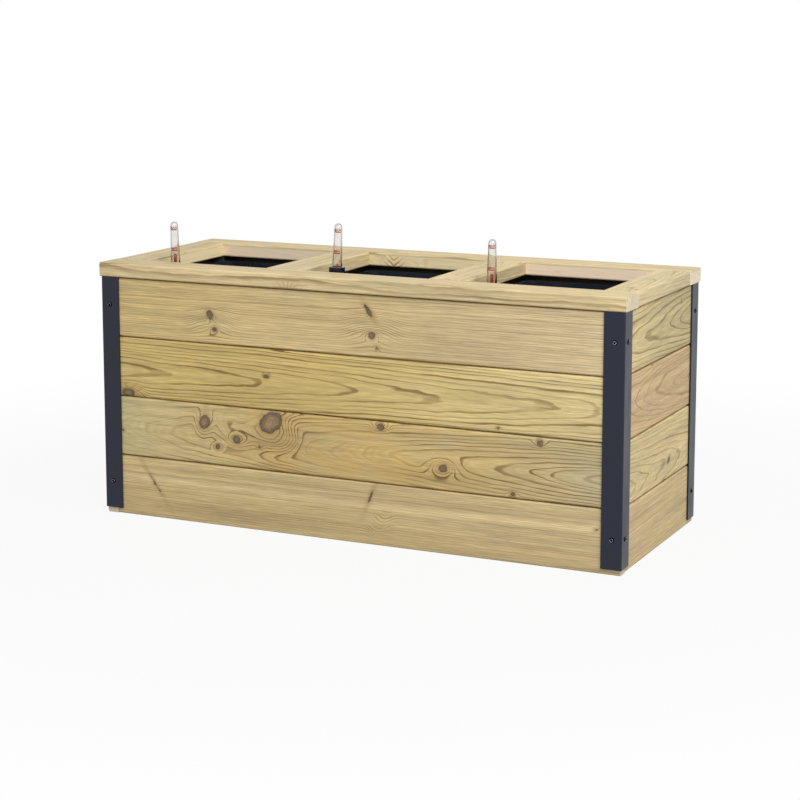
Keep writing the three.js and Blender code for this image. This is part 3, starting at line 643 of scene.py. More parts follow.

# How each board lies in its log: its pith (across, behind the face, drift, slope), its ring width, the
# strength of its lines and how far they wander. Tones go by place along the wall, and sage is the most of the
# grey-green. Knots are (along, across, radius, stretch, tilt), and calm ellipses with faint lines (along,
# across, half length, half width). Swells of the rings are (along, across, depth, their radii, height, tilt),
# fans of rays and chevrons (along, across, depth, their radii, lines), and bands of tone (across, half width,
# share, colour). Edge tones are the paler tones of a rail's sides, partly the wood's own and partly painted
# light on faces that the openings shade, by place along the rail with the two ends first, and cover the grain
# there by a share.
BOARD_GRAIN = {
    "front_1": {
        "pith": (150, 60, 0.004, 0.01), "ring": 4.2, "lines": 0.6, "seed": 1.0, "wander": 8,
        "tones": [(-540, "#e0c688"), (-160, "#dfc58d"), (100, "#dcc592"), (540, "#dcc69a")],
        "knots": [(-300, -2, 7, 1.4, -54), (-290, -30, 5, 1.15, 30), (44, 27, 4.5, 3.2, -54),
                  (49, -17, 6.5, 1.1, 0), (60, -41, 2.4, 1.3, -40)],
        "swells": [(-296, -14, 0, 84, 44, FAR, 13, 0), (50, -4, 0, 90, 60, FAR, 15, 0)],
    },
    "front_2": {
        "pith": (2, 38, 0.004, 0.028), "ring": 5.0, "lines": 1.0, "seed": 2.0, "wander": 13,
        "tones": [(-540, "#e0c57c"), (-160, "#ddc17a"), (100, "#d9c17e"), (540, "#e2cf97")], "sage": 0.1,
        "knots": [(-177, 7, 4, 1.3, 0), (-491, -52, 10, 1.4, 0), (306, -50, 2, 1.2, 0)],
        "swells": [(-491, -58, 0, 62, 44, FAR, 16, 0)], "fans": [(-491, -56, 0, 64, 40, FAR, 12)],
    },
    "front_3": {
        "pith": (4, 46, -0.01, -0.07), "ring": 5.0, "lines": 1.0, "seed": 3.0, "wander": 13,
        "tones": [(-540, "#daca94"), (-160, "#cdaf72"), (100, "#d9ba77"), (540, "#c6b78b")], "sage": 0.4,
        "calm": [(10, -16, 135, 74), (-240, 54, 95, 34), (-450, 4, 110, 80)],
        "knots": [(-316, 25, 12, 1.25, 75), (-168, 37, 19, 1.45, 32), (-244, -4, 8, 1.1, 0),
                  (-286, -22, 5.6, 1.1, 0), (-193, -13, 3.4, 1.2, 0), (67, 50, 7, 1.1, 0),
                  (196, -16, 7.5, 1.1, 0), (388, 49, 6, 1.1, 0), (336, -50, 4, 1.1, 0),
                  (-506, -8, 2.5, 1.1, 0)],
        "swells": [(-226, 12, 0, 140, 60, FAR, 22, -4), (-146, 10, 0, 70, 48, FAR, 20, -8),
                   (196, -16, 0, 60, 34, FAR, 12, 0)],
    },
    "front_4": {
        "pith": (-170, 80, 0.006, 0.01), "ring": 4.0, "lines": 0.5, "seed": 4.0, "wander": 9,
        "tones": [(-540, "#dcc38c"), (0, "#d4bd89"), (540, "#d2bc8d")], "sage": 0.25,
        "bands": [(18, 9, 0.8, "#ead39f"), (-36, 16, 0.45, "#c7ab7b")],
        "knots": [(-433, 11, 1.5, 11, -54), (46, 34, 2.4, 6, 67), (499, 21, 2.0, 1.8, 20)],
        "swells": [(66, -24, 0, 54, 30, FAR, 10, 50)],
    },
    "right_1": {
        "pith": (10, 30, 0.02, -0.07), "ring": 7.0, "lines": 0.9, "seed": 5.0, "wander": 20,
        "tones": [(-210, "#e2ce95"), (0, "#cbba88"), (210, "#cbba88")], "knots": [(118, 34, 2.4, 1.4, 0)],
    },
    "right_2": {
        "pith": (16, 56, -0.03, -0.06), "ring": 5.0, "lines": 0.45, "seed": 6.0, "wander": 18,
        "tones": [(-210, "#d2b486"), (0, "#d2b486"), (210, "#d2b486")], "sage": 0.0,
    },
    "right_3": {
        "pith": (-20, 70, 0.0, 0.05), "ring": 5.0, "lines": 0.65, "seed": 7.0, "wander": 16,
        "tones": [(-210, "#dec994"), (0, "#dec994"), (210, "#dec994")], "knots": [(57, -22, 5, 1.5, 20)],
    },
    "right_4": {
        "pith": (-150, 70, 0.03, 0.02), "ring": 3.6, "lines": 0.65, "seed": 8.0,
        "tones": [(-210, "#d7b98f"), (0, "#d9c18e"), (210, "#d9c18e")], "sage": 0.1,
    },
    "back_1": {
        "pith": (6, 40, 0.006, -0.035), "ring": 5.2, "lines": 0.8, "seed": 9.0, "wander": 11,
        "tones": [(-540, STRAW), (0, HONEY), (540, TAN)],
        "knots": [(-230, 20, 7, 1.3, 10), (310, -28, 4, 1.2, 0)],
    },
    "back_2": {
        "pith": (140, 70, 0.0, 0.01), "ring": 3.8, "lines": 0.5, "seed": 10.0,
        "tones": [(-540, TAN), (0, ROSE), (540, TAN)],
        "knots": [(-60, 12, 4.5, 1.6, -30), (420, 30, 3, 1.1, 0)],
    },
    "back_3": {
        "pith": (-8, 36, 0.0, 0.04), "ring": 5.0, "lines": 0.9, "seed": 11.0, "wander": 12,
        "tones": [(-540, SAGE), (0, AMBER), (540, SAGE)], "sage": 0.4,
        "knots": [(-380, -16, 8, 1.2, 0), (-120, 40, 6, 1.3, 0), (160, -8, 9, 1.4, 6), (365, 22, 5, 1.1, 0)],
    },
    "back_4": {
        "pith": (-160, 60, 0.004, 0.01), "ring": 3.4, "lines": 0.4, "seed": 12.0,
        "tones": [(-540, TAN), (0, TAN), (540, STRAW)], "knots": [(250, -12, 3.6, 2.0, 40)],
    },
    "left_1": {
        "pith": (8, 44, 0.0, 0.05), "ring": 5.0, "lines": 0.75, "seed": 13.0, "wander": 11,
        "tones": [(-210, HONEY), (0, STRAW), (210, STRAW)], "knots": [(-90, -10, 4, 1.3, 0)],
    },
    "left_2": {
        "pith": (150, 60, 0.01, 0.02), "ring": 3.6, "lines": 0.5, "seed": 14.0,
        "tones": [(-210, TAN), (0, TAN), (210, SAGE)],
    },
    "left_3": {
        "pith": (-6, 40, 0.0, -0.06), "ring": 5.0, "lines": 0.85, "seed": 15.0, "wander": 12,
        "tones": [(-210, SAGE), (0, OLIVE), (210, AMBER)], "sage": 0.4, "knots": [(40, 18, 7, 1.2, 0)],
    },
    "left_4": {
        "pith": (-150, 80, 0.02, 0.01), "ring": 3.4, "lines": 0.4, "seed": 16.0,
        "tones": [(-210, TAN), (0, TAN), (210, ROSE)],
    },
}


def wall_board(name, cad_node, axis, outer, tongue, groove):
    """Board along X or Y: rounded outer edges, eased inner edges, a tongue on top and a groove below. A
    grooved edge stops a little short of the next board, so that the joint shows as a dark line."""
    low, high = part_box(cad_node)
    if tongue:
        high.z -= TONGUE_HEIGHT * MM
    if groove:
        low.z += BOARD_JOINT * MM
    across = 1 - axis
    face = low[across] if outer == "low" else high[across]
    middle = (low[across] + high[across]) / 2
    normal = Vector((0, 0, 0))
    normal[across] = 1
    piece = block(name, low, high)
    bpy.ops.object.mode_set(mode="EDIT")
    for wanted, level, width, step in (
        (tongue, high.z, TONGUE_THICKNESS, TONGUE_HEIGHT), (groove, low.z, GROOVE_WIDTH, GROOVE_DEPTH),
    ):
        if wanted:
            for side in (-1, 1):
                pick("FACE", lambda f: near(f.calc_center_median().z, level))
                cut = Vector((0, 0, level))
                cut[across] = middle + side * width / 2 * MM
                bpy.ops.mesh.bisect(plane_co=cut, plane_no=normal)
            pick("FACE", lambda f: near(f.calc_center_median().z, level)
                 and near(f.calc_center_median()[across], middle))
            extrude(0, 0, step)
    for at_face, radius, segments in ((True, BOARD_EDGE_RADIUS, 6), (False, BOARD_BACK_EASE, 2)):
        pick("EDGE", lambda e: lies_along(e, axis) and near(e.verts[0].co[across], face) == at_face
             and (near(e.verts[0].co[across], low[across]) or near(e.verts[0].co[across], high[across])))
        bevel(radius, segments)
    bpy.ops.object.mode_set(mode="OBJECT")
    return piece


def let_warp(piece, axis, direction, height):
    """Cuts a timber into lengths and lets it bow and cup a little, as planed wood does outdoors."""
    choose(piece)
    bpy.ops.object.mode_set(mode="EDIT")
    pick("EDGE", lambda e: lies_along(e, axis) and e.calc_length() > 2 * WARP_STEP * MM)
    longest = max(e.calc_length() for e in bmesh.from_edit_mesh(piece.data).edges)
    bpy.ops.mesh.subdivide(number_cuts=int(longest / (WARP_STEP * MM)))
    bpy.ops.object.mode_set(mode="OBJECT")
    texture = bpy.data.textures.get("timber_warp") or bpy.data.textures.new("timber_warp", "CLOUDS")
    texture.noise_scale = WARP_LENGTH * MM
    modify(piece, "DISPLACE", texture=texture, texture_coords="LOCAL", direction=direction,
           strength=height * MM, mid_level=0.5)
    smooth(piece)


def build_walls():
    half_turn = TURN / 2
    course_drop = mm(0, 0, -BOARD_PITCH)
    for near_wall, far_wall in (("front", "back"), ("right", "left")):
        across, outer = WALLS[near_wall][1:]
        axis = 1 - across
        boards = {}
        for n in (1, 2, COURSES):
            cad_node = f"{near_wall}_board_{n}"
            boards[n] = wall_board(f"board_{near_wall}_{n}", cad_node, axis, outer, n > 1, n < COURSES)
        boards[3] = copy_piece(boards[2], f"board_{near_wall}_3", shift=course_drop)
        copies = {n: copy_piece(board, f"board_{far_wall}_{n}", half_turn) for n, board in boards.items()}
        for wall, pieces in ((near_wall, boards), (far_wall, copies)):
            for n, piece in pieces.items():
                let_warp(piece, axis, "XY"[across], BOARD_WARP)
                finish_board(piece, wall, n)


def finish_board(piece, wall, n):
    along, across, outer = WALLS[wall]
    cad_node = f"{wall}_board_{n}"
    low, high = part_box(cad_node)
    origin = mm(0, 0, (COURSES - n + 0.5) * BOARD_PITCH)
    origin[across] = low[across] if outer == "low" else high[across]
    reach = (high - low)[1 - across] / 2 / MM
    # Its back face, the board's thickness behind the front, is painted dark as shade
    grain = {**BOARD_GRAIN[f"{wall}_{n}"], "inside": (high - low)[across] / MM}
    material = pine_timber(f"planed_pine_{wall}_{n}", along, (0, 0, 1), origin, reach, grain)
    show(piece, "planter", "pine_timber", material, cad_node)


build_walls()

# Top frame: how each rail lies in its log, as for the boards, with places from the rail's middle
RAIL_GRAIN = {
    "rail_front": {
        "pith": (120, 50, 0.0, 0.01), "ring": 4.2, "lines": 0.7, "seed": 21.0, "sage": 0.1,
        "tones": [(-540, SAPWOOD), (0, SAPWOOD), (540, SAPWOOD)], "fans": [(-127, -34, -36, 46, 60, 34, 18)],
    },
    "rail_back": {
        "pith": (6, 30, 0.01, 0.03), "ring": 5.0, "lines": 0.7, "seed": 22.0, "sage": 0.1,
        "tones": [(-540, SAPWOOD), (-60, SAPWOOD), (540, SAPWOOD)],
        # The paler side tones are partly painted light on the inner faces, which the openings shade
        "edge": [(-200, LIT_INNER_ROSE), (200, LIT_INNER_ROSE), (-160, LIT_INNER_GOLD), (160, LIT_INNER_GOLD)],
        "edge_share": 0.65, "calm": [(-360, -34, 210, 60), (350, -34, 230, 60)],
        "swells": [(-62, -36, -24, 96, 40, 26, 18, 0)], "chevrons": [(-80, -34, -23, 31, 30, 27, 15)],
    },
    "rail_left": {
        "pith": (100, 40, 0.0, 0.02), "ring": 4.0, "lines": 0.6, "seed": 23.0, "sage": 0.1,
        "tones": [(-150, STRAW), (0, SAPWOOD), (150, SAPWOOD)],
        "edge": [(-150, LIT_INNER_GOLD), (150, LIT_INNER_GOLD)], "edge_share": 0.85,
    },
    "rail_right": {
        "pith": (4, 40, 0.0, 0.04), "ring": 4.6, "lines": 0.5, "seed": 24.0, "sage": 0.1,
        "tones": [(-150, SAPWOOD), (0, STRAW), (150, STRAW)], "knots": [(-126, -20, 2.0, 1.2, 0)],
        "bands": [(-14, 4, 0.7, AMBER)],
    },
    "divider_left": {
        "pith": (-110, 40, 0.0, 0.02), "ring": 4.0, "lines": 0.5, "seed": 25.0, "sage": 0.0,
        "tones": [(-150, STRAW), (0, SAPWOOD), (150, SAPWOOD)],
    },
    "divider_right": {
        "pith": (6, 60, 0.0, 0.03), "ring": 4.6, "lines": 0.5, "seed": 26.0, "sage": 0.1,
        "tones": [(-150, SAPWOOD), (0, SAPWOOD), (150, SAPWOOD)],
    },
}


def rail(name, cad_node, axis):
    """Planed rail with four rounded long edges and eased ends."""
    low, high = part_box(cad_node)
    piece = block(name, low, high)
    bpy.ops.object.mode_set(mode="EDIT")
    pick("EDGE", lambda e: lies_along(e, axis))
    bevel(RAIL_EDGE_RADIUS, 6)
    for end in (low[axis], high[axis]):
        pick("EDGE", lambda e: all(near(v.co[axis], end) for v in e.verts))
        bevel(RAIL_END_EASE, 2)
    bpy.ops.object.mode_set(mode="OBJECT")
    return piece


def build_top_frame():
    for first, second, axis in (
        ("rail_front", "rail_back", 0), ("rail_right", "rail_left", 1), ("divider_right", "divider_left", 1),
    ):
        piece = rail(f"frame_{first}", f"rim_{first}", axis)
        copy = copy_piece(piece, f"frame_{second}", TURN / 2)
        for name, timber in ((first, piece), (second, copy)):
            let_warp(timber, axis, "Z", RAIL_WARP)
            low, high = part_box(f"rim_{name}")
            origin = (low + high) / 2
            origin.z = high.z
            along, across = ((1, 0, 0), (0, 1, 0)) if axis == 0 else ((0, 1, 0), (-1, 0, 0))
            reach = (high - low)[axis] / 2 / MM
            material = pine_timber(f"planed_pine_{name}", along, across, origin, reach, RAIL_GRAIN[name])
            show(timber, "planter", "pine_timber", material, f"rim_{name}")


build_top_frame()

# Posts and floor timbers inside the box, sawn from plainer wood and painted dark as shade, like the boards'
# inner faces
HIDDEN_GRAIN = {
    "pith": (60, 40, 0.0, 0.01), "ring": 4.0, "lines": 0.6, "sage": 0.1,
    "tones": [(-540, PAINTED_SHADE_BROWN), (540, PAINTED_SHADE_BROWN)],
}


def finish_hidden_timber():
    hidden = [n for n in frame["nodes"] if n.startswith(("inner_post", "floor_"))]
    for index, cad_node in enumerate(sorted(hidden)):
        low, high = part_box(cad_node)
        size = high - low
        axis = max(range(3), key=lambda i: size[i])
        along, across = (((1, 0, 0), (0, 1, 0)), ((0, 1, 0), (0, 0, 1)), ((0, 0, 1), (1, 0, 0)))[axis]
        grain = {**HIDDEN_GRAIN, "seed": 40.0 + index}
        middle, reach = (low + high) / 2, size[axis] / 2 / MM
        material = pine_timber(f"sawn_pine_{cad_node}", along, across, middle, reach, grain)
        materials = frame["nodes"][cad_node].data.materials
        materials.clear()
        materials.append(material)


finish_hidden_timber()


# Steel angles and screws

# Powder-coated steel: near-black blue-grey, satin, with a fine orange-peel skin
COAT = moulded("powder_coated_steel", "#0a1225", 0.38, 1.45, 2.2, 0.05)
BLACKENED = blackened_steel()


def turned(name, profile, steps=48):
    """Piece spun about the Z axis from (radius, height) pairs in millimetres."""
    deselect()
    bpy.ops.mesh.primitive_plane_add(size=MM, location=(0, 0, 0))
    piece = settle(name)
    bpy.ops.object.mode_set(mode="EDIT")
    bpy.ops.mesh.merge(type="CENTER")
    bpy.ops.mesh.select_mode(type="VERT")
    bpy.ops.mesh.select_all(action="SELECT")
    bpy.ops.transform.translate(value=mm(profile[0][0], 0, profile[0][1]))
    for (radius, height), (next_radius, next_height) in zip(profile, profile[1:]):
        extrude(next_radius - radius, 0, next_height - height)
    bpy.ops.mesh.select_all(action="SELECT")
    bpy.ops.mesh.spin(steps=steps, angle=TURN, center=(0, 0, 0), axis=(0, 0, 1))
    return close_up(piece)


def corner_angle():
    """Angle of the front right corner, bent from sheet, with countersunk holes."""
    low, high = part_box("corner_angle_front_right")
    leg = high.copy()
    leg.y = low.y + ANGLE_THICKNESS * MM
    piece = block("angle_front_right", low, leg)
    bpy.ops.object.mode_set(mode="EDIT")
    bend = high.x - ANGLE_THICKNESS * MM
    bpy.ops.mesh.select_all(action="SELECT")
    bpy.ops.mesh.bisect(plane_co=(bend, 0, 0), plane_no=(1, 0, 0))
    pick("FACE", lambda f: near(f.calc_center_median().y, leg.y) and f.calc_center_median().x > bend)
    extrude(0, ANGLE_LEG - ANGLE_THICKNESS, 0)
    pick("EDGE", lambda e: lies_along(e, 2) and near(e.verts[0].co.x, high.x)
         and near(e.verts[0].co.y, low.y))
    bevel(ANGLE_CORNER_RADIUS, 6)
    pick("EDGE", lambda e: len(e.link_faces) == 2 and e.calc_face_angle() > 1.0)
    bevel(ANGLE_ARRIS, 2)
    bpy.ops.object.mode_set(mode="OBJECT")
    cutter = turned("countersink", [
        (0, -2 * ANGLE_THICKNESS), (SCREW_HOLE_RADIUS, -2 * ANGLE_THICKNESS),
        (SCREW_HOLE_RADIUS, -COUNTERSINK_DEPTH), (COUNTERSINK_RADIUS, 0), (COUNTERSINK_RADIUS, 1), (0, 1),
    ], 32)
    for place, facing in screw_places(low, high):
        tool = copy_facing(cutter, "countersink_placed", place, facing)
        modify(piece, "BOOLEAN", object=tool, operation="DIFFERENCE", solver="EXACT")
        bpy.data.objects.remove(tool)
    bpy.data.objects.remove(cutter)
    smooth(piece, 25)
    return piece


def screw_places(low, high):
    """Places of the front right angle's screws and the direction that each head faces."""
    places = []
    for level in (low.z + SCREW_FROM_END * MM, high.z - SCREW_FROM_END * MM):
        places.append((Vector((high.x - SCREW_FROM_CORNER * MM, low.y, level)), Vector((0, -1, 0))))
        places.append((Vector((high.x, low.y + SCREW_FROM_CORNER * MM, level)), Vector((1, 0, 0))))
    return places


def copy_facing(source, name, place, facing):
    """Copy of a piece made about the Z axis, turned so that its top faces a direction."""
    choose(source)
    bpy.ops.object.duplicate(linked=False)
    copy = bpy.context.active_object
    copy.rotation_euler = facing.to_track_quat("Z", "Y").to_euler()
    copy.location = place
    return settle(name)


def countersunk_screw():
    """Raised countersunk screw with a domed head and a six-lobed socket, the head's edge at Z = 0."""
    foot = -COUNTERSINK_DEPTH - SCREW_SHANK_LENGTH
    head, bore = SCREW_HEAD_RADIUS, SCREW_SOCKET_RADIUS
    screw = turned("countersunk_screw", [
        (0, foot - SCREW_POINT_LENGTH), (1.0, foot), (SCREW_SHANK_RADIUS, foot + 2),
        (SCREW_SHANK_RADIUS, -COUNTERSINK_DEPTH), (head - 0.2, -0.25), (head, 0),
        (head - 0.2, SCREW_RISE * 0.4), (head - 0.8, SCREW_RISE * 0.75), (bore + 0.7, SCREW_RISE * 0.96),
        (bore + 0.1, SCREW_RISE), (bore, SCREW_RISE - 0.2), (bore, -SCREW_SOCKET_DEPTH),
        (0, -SCREW_SOCKET_DEPTH - 0.4),
    ], 36)
    choose(screw)
    bpy.ops.object.mode_set(mode="EDIT")
    inner = (bore + 0.05) * MM

    def in_lobe_gap(point):
        turn = math.atan2(point.co.y, point.co.x) % (TURN / 6)
        in_bore = 0.1 * MM < point.co.xy.length < inner and point.co.z > -(SCREW_SOCKET_DEPTH + 0.1) * MM
        return in_bore and turn < TURN / 12
    pick("VERT", in_lobe_gap)
    bpy.ops.transform.resize(value=(SCREW_LOBE_GAP, SCREW_LOBE_GAP, 1), center_override=(0, 0, 0))
    bpy.ops.object.mode_set(mode="OBJECT")
    smooth(screw, 40)
    # The black finish wears off on the ring round the socket
    black = screw.data.attributes.new("black", "FLOAT", "FACE")
    for face, mark in zip(screw.data.polygons, black.data):
        in_socket = face.center.xy.length < inner and face.center.z > -(SCREW_SOCKET_DEPTH + 0.5) * MM
        worn = not in_socket and face.center.z > SCREW_RISE * 0.95 * MM
        mark.value = 0.0 if worn else 1.0
    return screw


def mirrored(source, name, x_sign, y_sign):
    """Copy mirrored through the planter's middle planes, with its faces turned outwards again."""
    choose(source)
    bpy.ops.object.duplicate(linked=False)
    bpy.ops.transform.resize(value=(x_sign, y_sign, 1), center_override=(0, 0, 0))
    copy = settle(name)
    bpy.ops.object.mode_set(mode="EDIT")
    bpy.ops.mesh.select_all(action="SELECT")
    bpy.ops.mesh.normals_make_consistent(inside=False)
    bpy.ops.object.mode_set(mode="OBJECT")
    return copy


def build_corners():
    angle = corner_angle()
    screw = countersunk_screw()
    low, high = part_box("corner_angle_front_right")
    for corner, (x, y) in CORNERS.items():
        piece = angle if corner == "front_right" else mirrored(angle, f"angle_{corner}", x, -y)
        show(piece, "planter", "coated_steel", COAT, f"corner_angle_{corner}")
        for n, (place, facing) in enumerate(screw_places(low, high), 1):
            out = Vector((x * facing.x, -y * facing.y, 0))
            spot = Vector((x * place.x, -y * place.y, place.z)) - out * SCREW_SUNK * MM
            driven = copy_facing(screw, f"screw_{corner}_{n}", spot, out)
            show(driven, "planter", "coated_steel", BLACKENED)
    bpy.data.objects.remove(screw)


build_corners()


# Inserts

# Moulded polypropylene: deep blue-black, semi-gloss, with a faint mould skin
BLACK = moulded("moulded_polypropylene", "#1b212b", 0.28, 1.49, 3.0, 0.06)
# The same from a polished mould, for the gauges: glossy, so that its ribs glint
POLISHED = moulded("polished_polypropylene", "#1b1e25", 0.16, 1.49, 2.0, 0.03)
# Moulded ABS: deep red and satin, as the rods show through their tubes
RED = moulded("red_abs", "#b01a1f", 0.35, 1.54, 1.5, 0.02)
# Screen-printed ink: dark red and dull, on the clear tubes
INK = moulded("red_screen_ink", "#9a1420", 0.5, 1.5, 1.5, 0.02)
# Closed-cell foam: off-white and matt, with open cells on its cut skin
FOAM = moulded("closed_cell_foam", "#e7e1d2", 0.85, 1.4, 1.2, 0.2)
CLEAR = clear_styrene()


def liner_tub():
    """Drafted tub with round corners and a turned-down lip, at the middle opening."""
    low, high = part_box("liner_middle")
    inset = mm(LIP_WIDTH, LIP_WIDTH, 0)
    piece = block("tub_middle", low + inset, high - inset)
    bpy.ops.object.mode_set(mode="EDIT")
    pick("EDGE", lambda e: lies_along(e, 2))
    bevel(LINER_CORNER_RADIUS, 10)
    pick("FACE", lambda f: near(f.calc_center_median().z, low.z))
    size = high - low - 2 * inset
    taper = [(length - 2 * LINER_DRAFT * MM) / length for length in size.xy]
    bpy.ops.transform.resize(value=(*taper, 1), center_override=(0, 0, low.z))
    pick("EDGE", lambda e: all(near(v.co.z, low.z) for v in e.verts))
    bevel(LINER_FOOT_RADIUS, 4)
    pick("FACE", lambda f: near(f.calc_center_median().z, high.z))
    bpy.ops.mesh.delete(type="ONLY_FACE")
    pick("EDGE", lambda e: all(near(v.co.z, high.z) for v in e.verts))
    bpy.ops.mesh.extrude_region_move()
    outward = [(length + 2 * LIP_WIDTH * MM) / length for length in size.xy]
    bpy.ops.transform.resize(value=(*outward, 1), center_override=(0, 0, high.z))
    extrude(0, 0, -LIP_HEIGHT)
    close_up(piece)
    modify(piece, "SOLIDIFY", thickness=LINER_WALL * MM, offset=-1, use_even_offset=True)
    modify(piece, "BEVEL", width=LIP_ROUND * MM, segments=3, limit_method="ANGLE",
           angle_limit=math.radians(50))
    smooth(piece, 40)
    return piece


def gauge_place(side):
    """Foot of a gauge's axis, the direction that it leans in, and how far its shaft is pulled up."""
    axis = next(Vector(j["axis"]) for j in frame["joints"] if j["name"] == f"gauge_{side}_lift")
    low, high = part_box(f"gauge_float_{side}")
    foot = (low + high) / 2 - axis * FLOAT_LENGTH / 2 * MM
    shaft_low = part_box(f"gauge_shaft_{side}")[0].z + SHAFT_RADIUS * MM * abs(axis.x)
    return foot, axis, (shaft_low - foot.z) / axis.z


def gauge_shaft(height):
    """Shaft open at the foot, with a ribbed collar, a socket for the sight tube and a guide for the rod."""
    core = COLLAR_RADIUS - COLLAR_RIB_DEPTH
    socket = SIGHT_BASE_RADIUS + 0.2
    floor = height - SIGHT_SEAT - 0.3
    collar_foot = height - COLLAR_HEIGHT
    shaft = turned("gauge_shaft", [
        (SHAFT_BORE_RADIUS, 0), (SHAFT_RADIUS, 0), (SHAFT_RADIUS, collar_foot - (core - SHAFT_RADIUS)),
        (core, collar_foot), (core, height - COLLAR_RIB_DEPTH), (core, height - COLLAR_EDGE),
        (core - COLLAR_EDGE, height), (socket + 0.6, height), (socket, height - 0.6), (socket, floor),
        (GUIDE_RADIUS, floor), (GUIDE_RADIUS, floor - GUIDE_THICKNESS),
        (SHAFT_BORE_RADIUS, floor - GUIDE_THICKNESS), (SHAFT_BORE_RADIUS, 0),
    ], 4 * COLLAR_RIBS)
    choose(shaft)
    bpy.ops.object.mode_set(mode="EDIT")

    def on_rib(face):
        middle = face.calc_center_median()
        turn = (math.atan2(middle.y, middle.x) % (TURN / COLLAR_RIBS)) / (TURN / COLLAR_RIBS)
        level = collar_foot * MM < middle.z < (height - COLLAR_RIB_DEPTH) * MM
        return level and middle.xy.length > (core - 0.5) * MM and turn < 0.5
    pick("FACE", on_rib)
    bpy.ops.mesh.extrude_region_shrink_fatten(TRANSFORM_OT_shrink_fatten={"value": -COLLAR_RIB_DEPTH * MM})
    close_up(shaft)
    smooth(shaft, 40)
    return shaft


def dome(radius, centre, steps=8):
    """Quarter round from the side to the axis, as (radius, height) pairs."""
    turns = [step / steps * TURN / 4 for step in range(steps)]
    return [(radius * math.cos(t), centre + radius * math.sin(t)) for t in turns] + [(0, centre + radius)]


def sight_tube(height):
    """Tapered clear tube with a domed top, its foot in the collar."""
    foot, centre = height - SIGHT_SEAT, height + SIGHT_HEIGHT - SIGHT_TOP_RADIUS
    inner_base = SIGHT_BASE_RADIUS - SIGHT_WALL
    tube = turned("sight_tube", [
        (inner_base, foot), (SIGHT_BASE_RADIUS, foot), (SIGHT_BASE_RADIUS, height),
        *dome(SIGHT_TOP_RADIUS, centre), *reversed(dome(SIGHT_TOP_RADIUS - SIGHT_WALL, centre)),
        (inner_base, height), (inner_base, foot),
    ])
    smooth(tube, 40)
    return tube


def gauge_float():
    core = FLOAT_RADIUS - FLOAT_EDGE_RADIUS
    top = FLOAT_LENGTH - ROD_SOCKET_DEPTH
    edge = [(FLOAT_EDGE_RADIUS * math.sin(t), FLOAT_EDGE_RADIUS * (1 - math.cos(t)))
            for t in [step / 6 * TURN / 4 for step in range(7)]]
    foam = turned("gauge_float", [
        (0, 0), *[(core + out, up) for out, up in edge],
        *[(core + out, FLOAT_LENGTH - up) for out, up in reversed(edge)],
        (ROD_RADIUS + 0.3, FLOAT_LENGTH), (ROD_RADIUS + 0.3, top), (0, top),
    ], 32)
    smooth(foam, 40)
    return foam


def gauge_rod(height, lift):
    """Thin rod with a thicker round-topped pointer that shows the water level."""
    foot = FLOAT_LENGTH - ROD_SOCKET_DEPTH + 0.3
    pointer_foot = height - SIGHT_SEAT + lift
    top = height + POINTER_ABOVE_COLLAR
    rod = turned("gauge_rod", [
        (0, foot), (ROD_RADIUS, foot), (ROD_RADIUS, pointer_foot), (POINTER_RADIUS - 0.3, pointer_foot),
        (POINTER_RADIUS, pointer_foot + 0.3),
        *dome(POINTER_RADIUS, top - POINTER_RADIUS, 5),
    ], 24)
    smooth(rod, 50)
    return rod


def level_mark(word, height):
    """Red level mark on the sight tube: a word over a bar, wrapped on the tube's front."""
    level = height + SIGHT_HEIGHT - MARKS[word]
    front = -SHAFT_RADIUS - MARK_STAND_OFF
    upright = (TURN / 4, 0, 0)
    deselect()
    bpy.ops.object.text_add(location=mm(0, front, level), rotation=upright)
    letters = bpy.context.active_object
    letters.data.body = word
    letters.data.size = MARK_LETTER_SIZE * MM
    letters.data.align_x = "CENTER"
    letters.data.offset = MARK_LETTER_BOLD * MM
    bpy.ops.object.convert(target="MESH")
    letters = settle(f"mark_{word.lower()}")
    bar_place = mm(0, front, level - MARK_BAR_DROP)
    bpy.ops.mesh.primitive_plane_add(size=MM, location=bar_place, rotation=upright)
    bpy.ops.transform.resize(value=(MARK_BAR[0], 1, MARK_BAR[1]))
    settle("mark_bar")
    letters.select_set(True)
    bpy.context.view_layer.objects.active = letters
    bpy.ops.object.join()
    bpy.ops.object.mode_set(mode="EDIT")
    bpy.ops.mesh.select_all(action="SELECT")
    bpy.ops.mesh.quads_convert_to_tris()
    bpy.ops.mesh.subdivide(number_cuts=2)
    bpy.ops.object.mode_set(mode="OBJECT")
    return letters


def lean(piece, name, foot, axis, lift=0.0):
    """Copy of an upright gauge piece, set on its foot and leaned."""
    choose(piece)
    bpy.ops.object.duplicate(linked=False)
    copy = bpy.context.active_object
    copy.rotation_euler = (0, math.atan2(axis.x, axis.z), 0)
    copy.location = foot + axis * lift
    return settle(name)


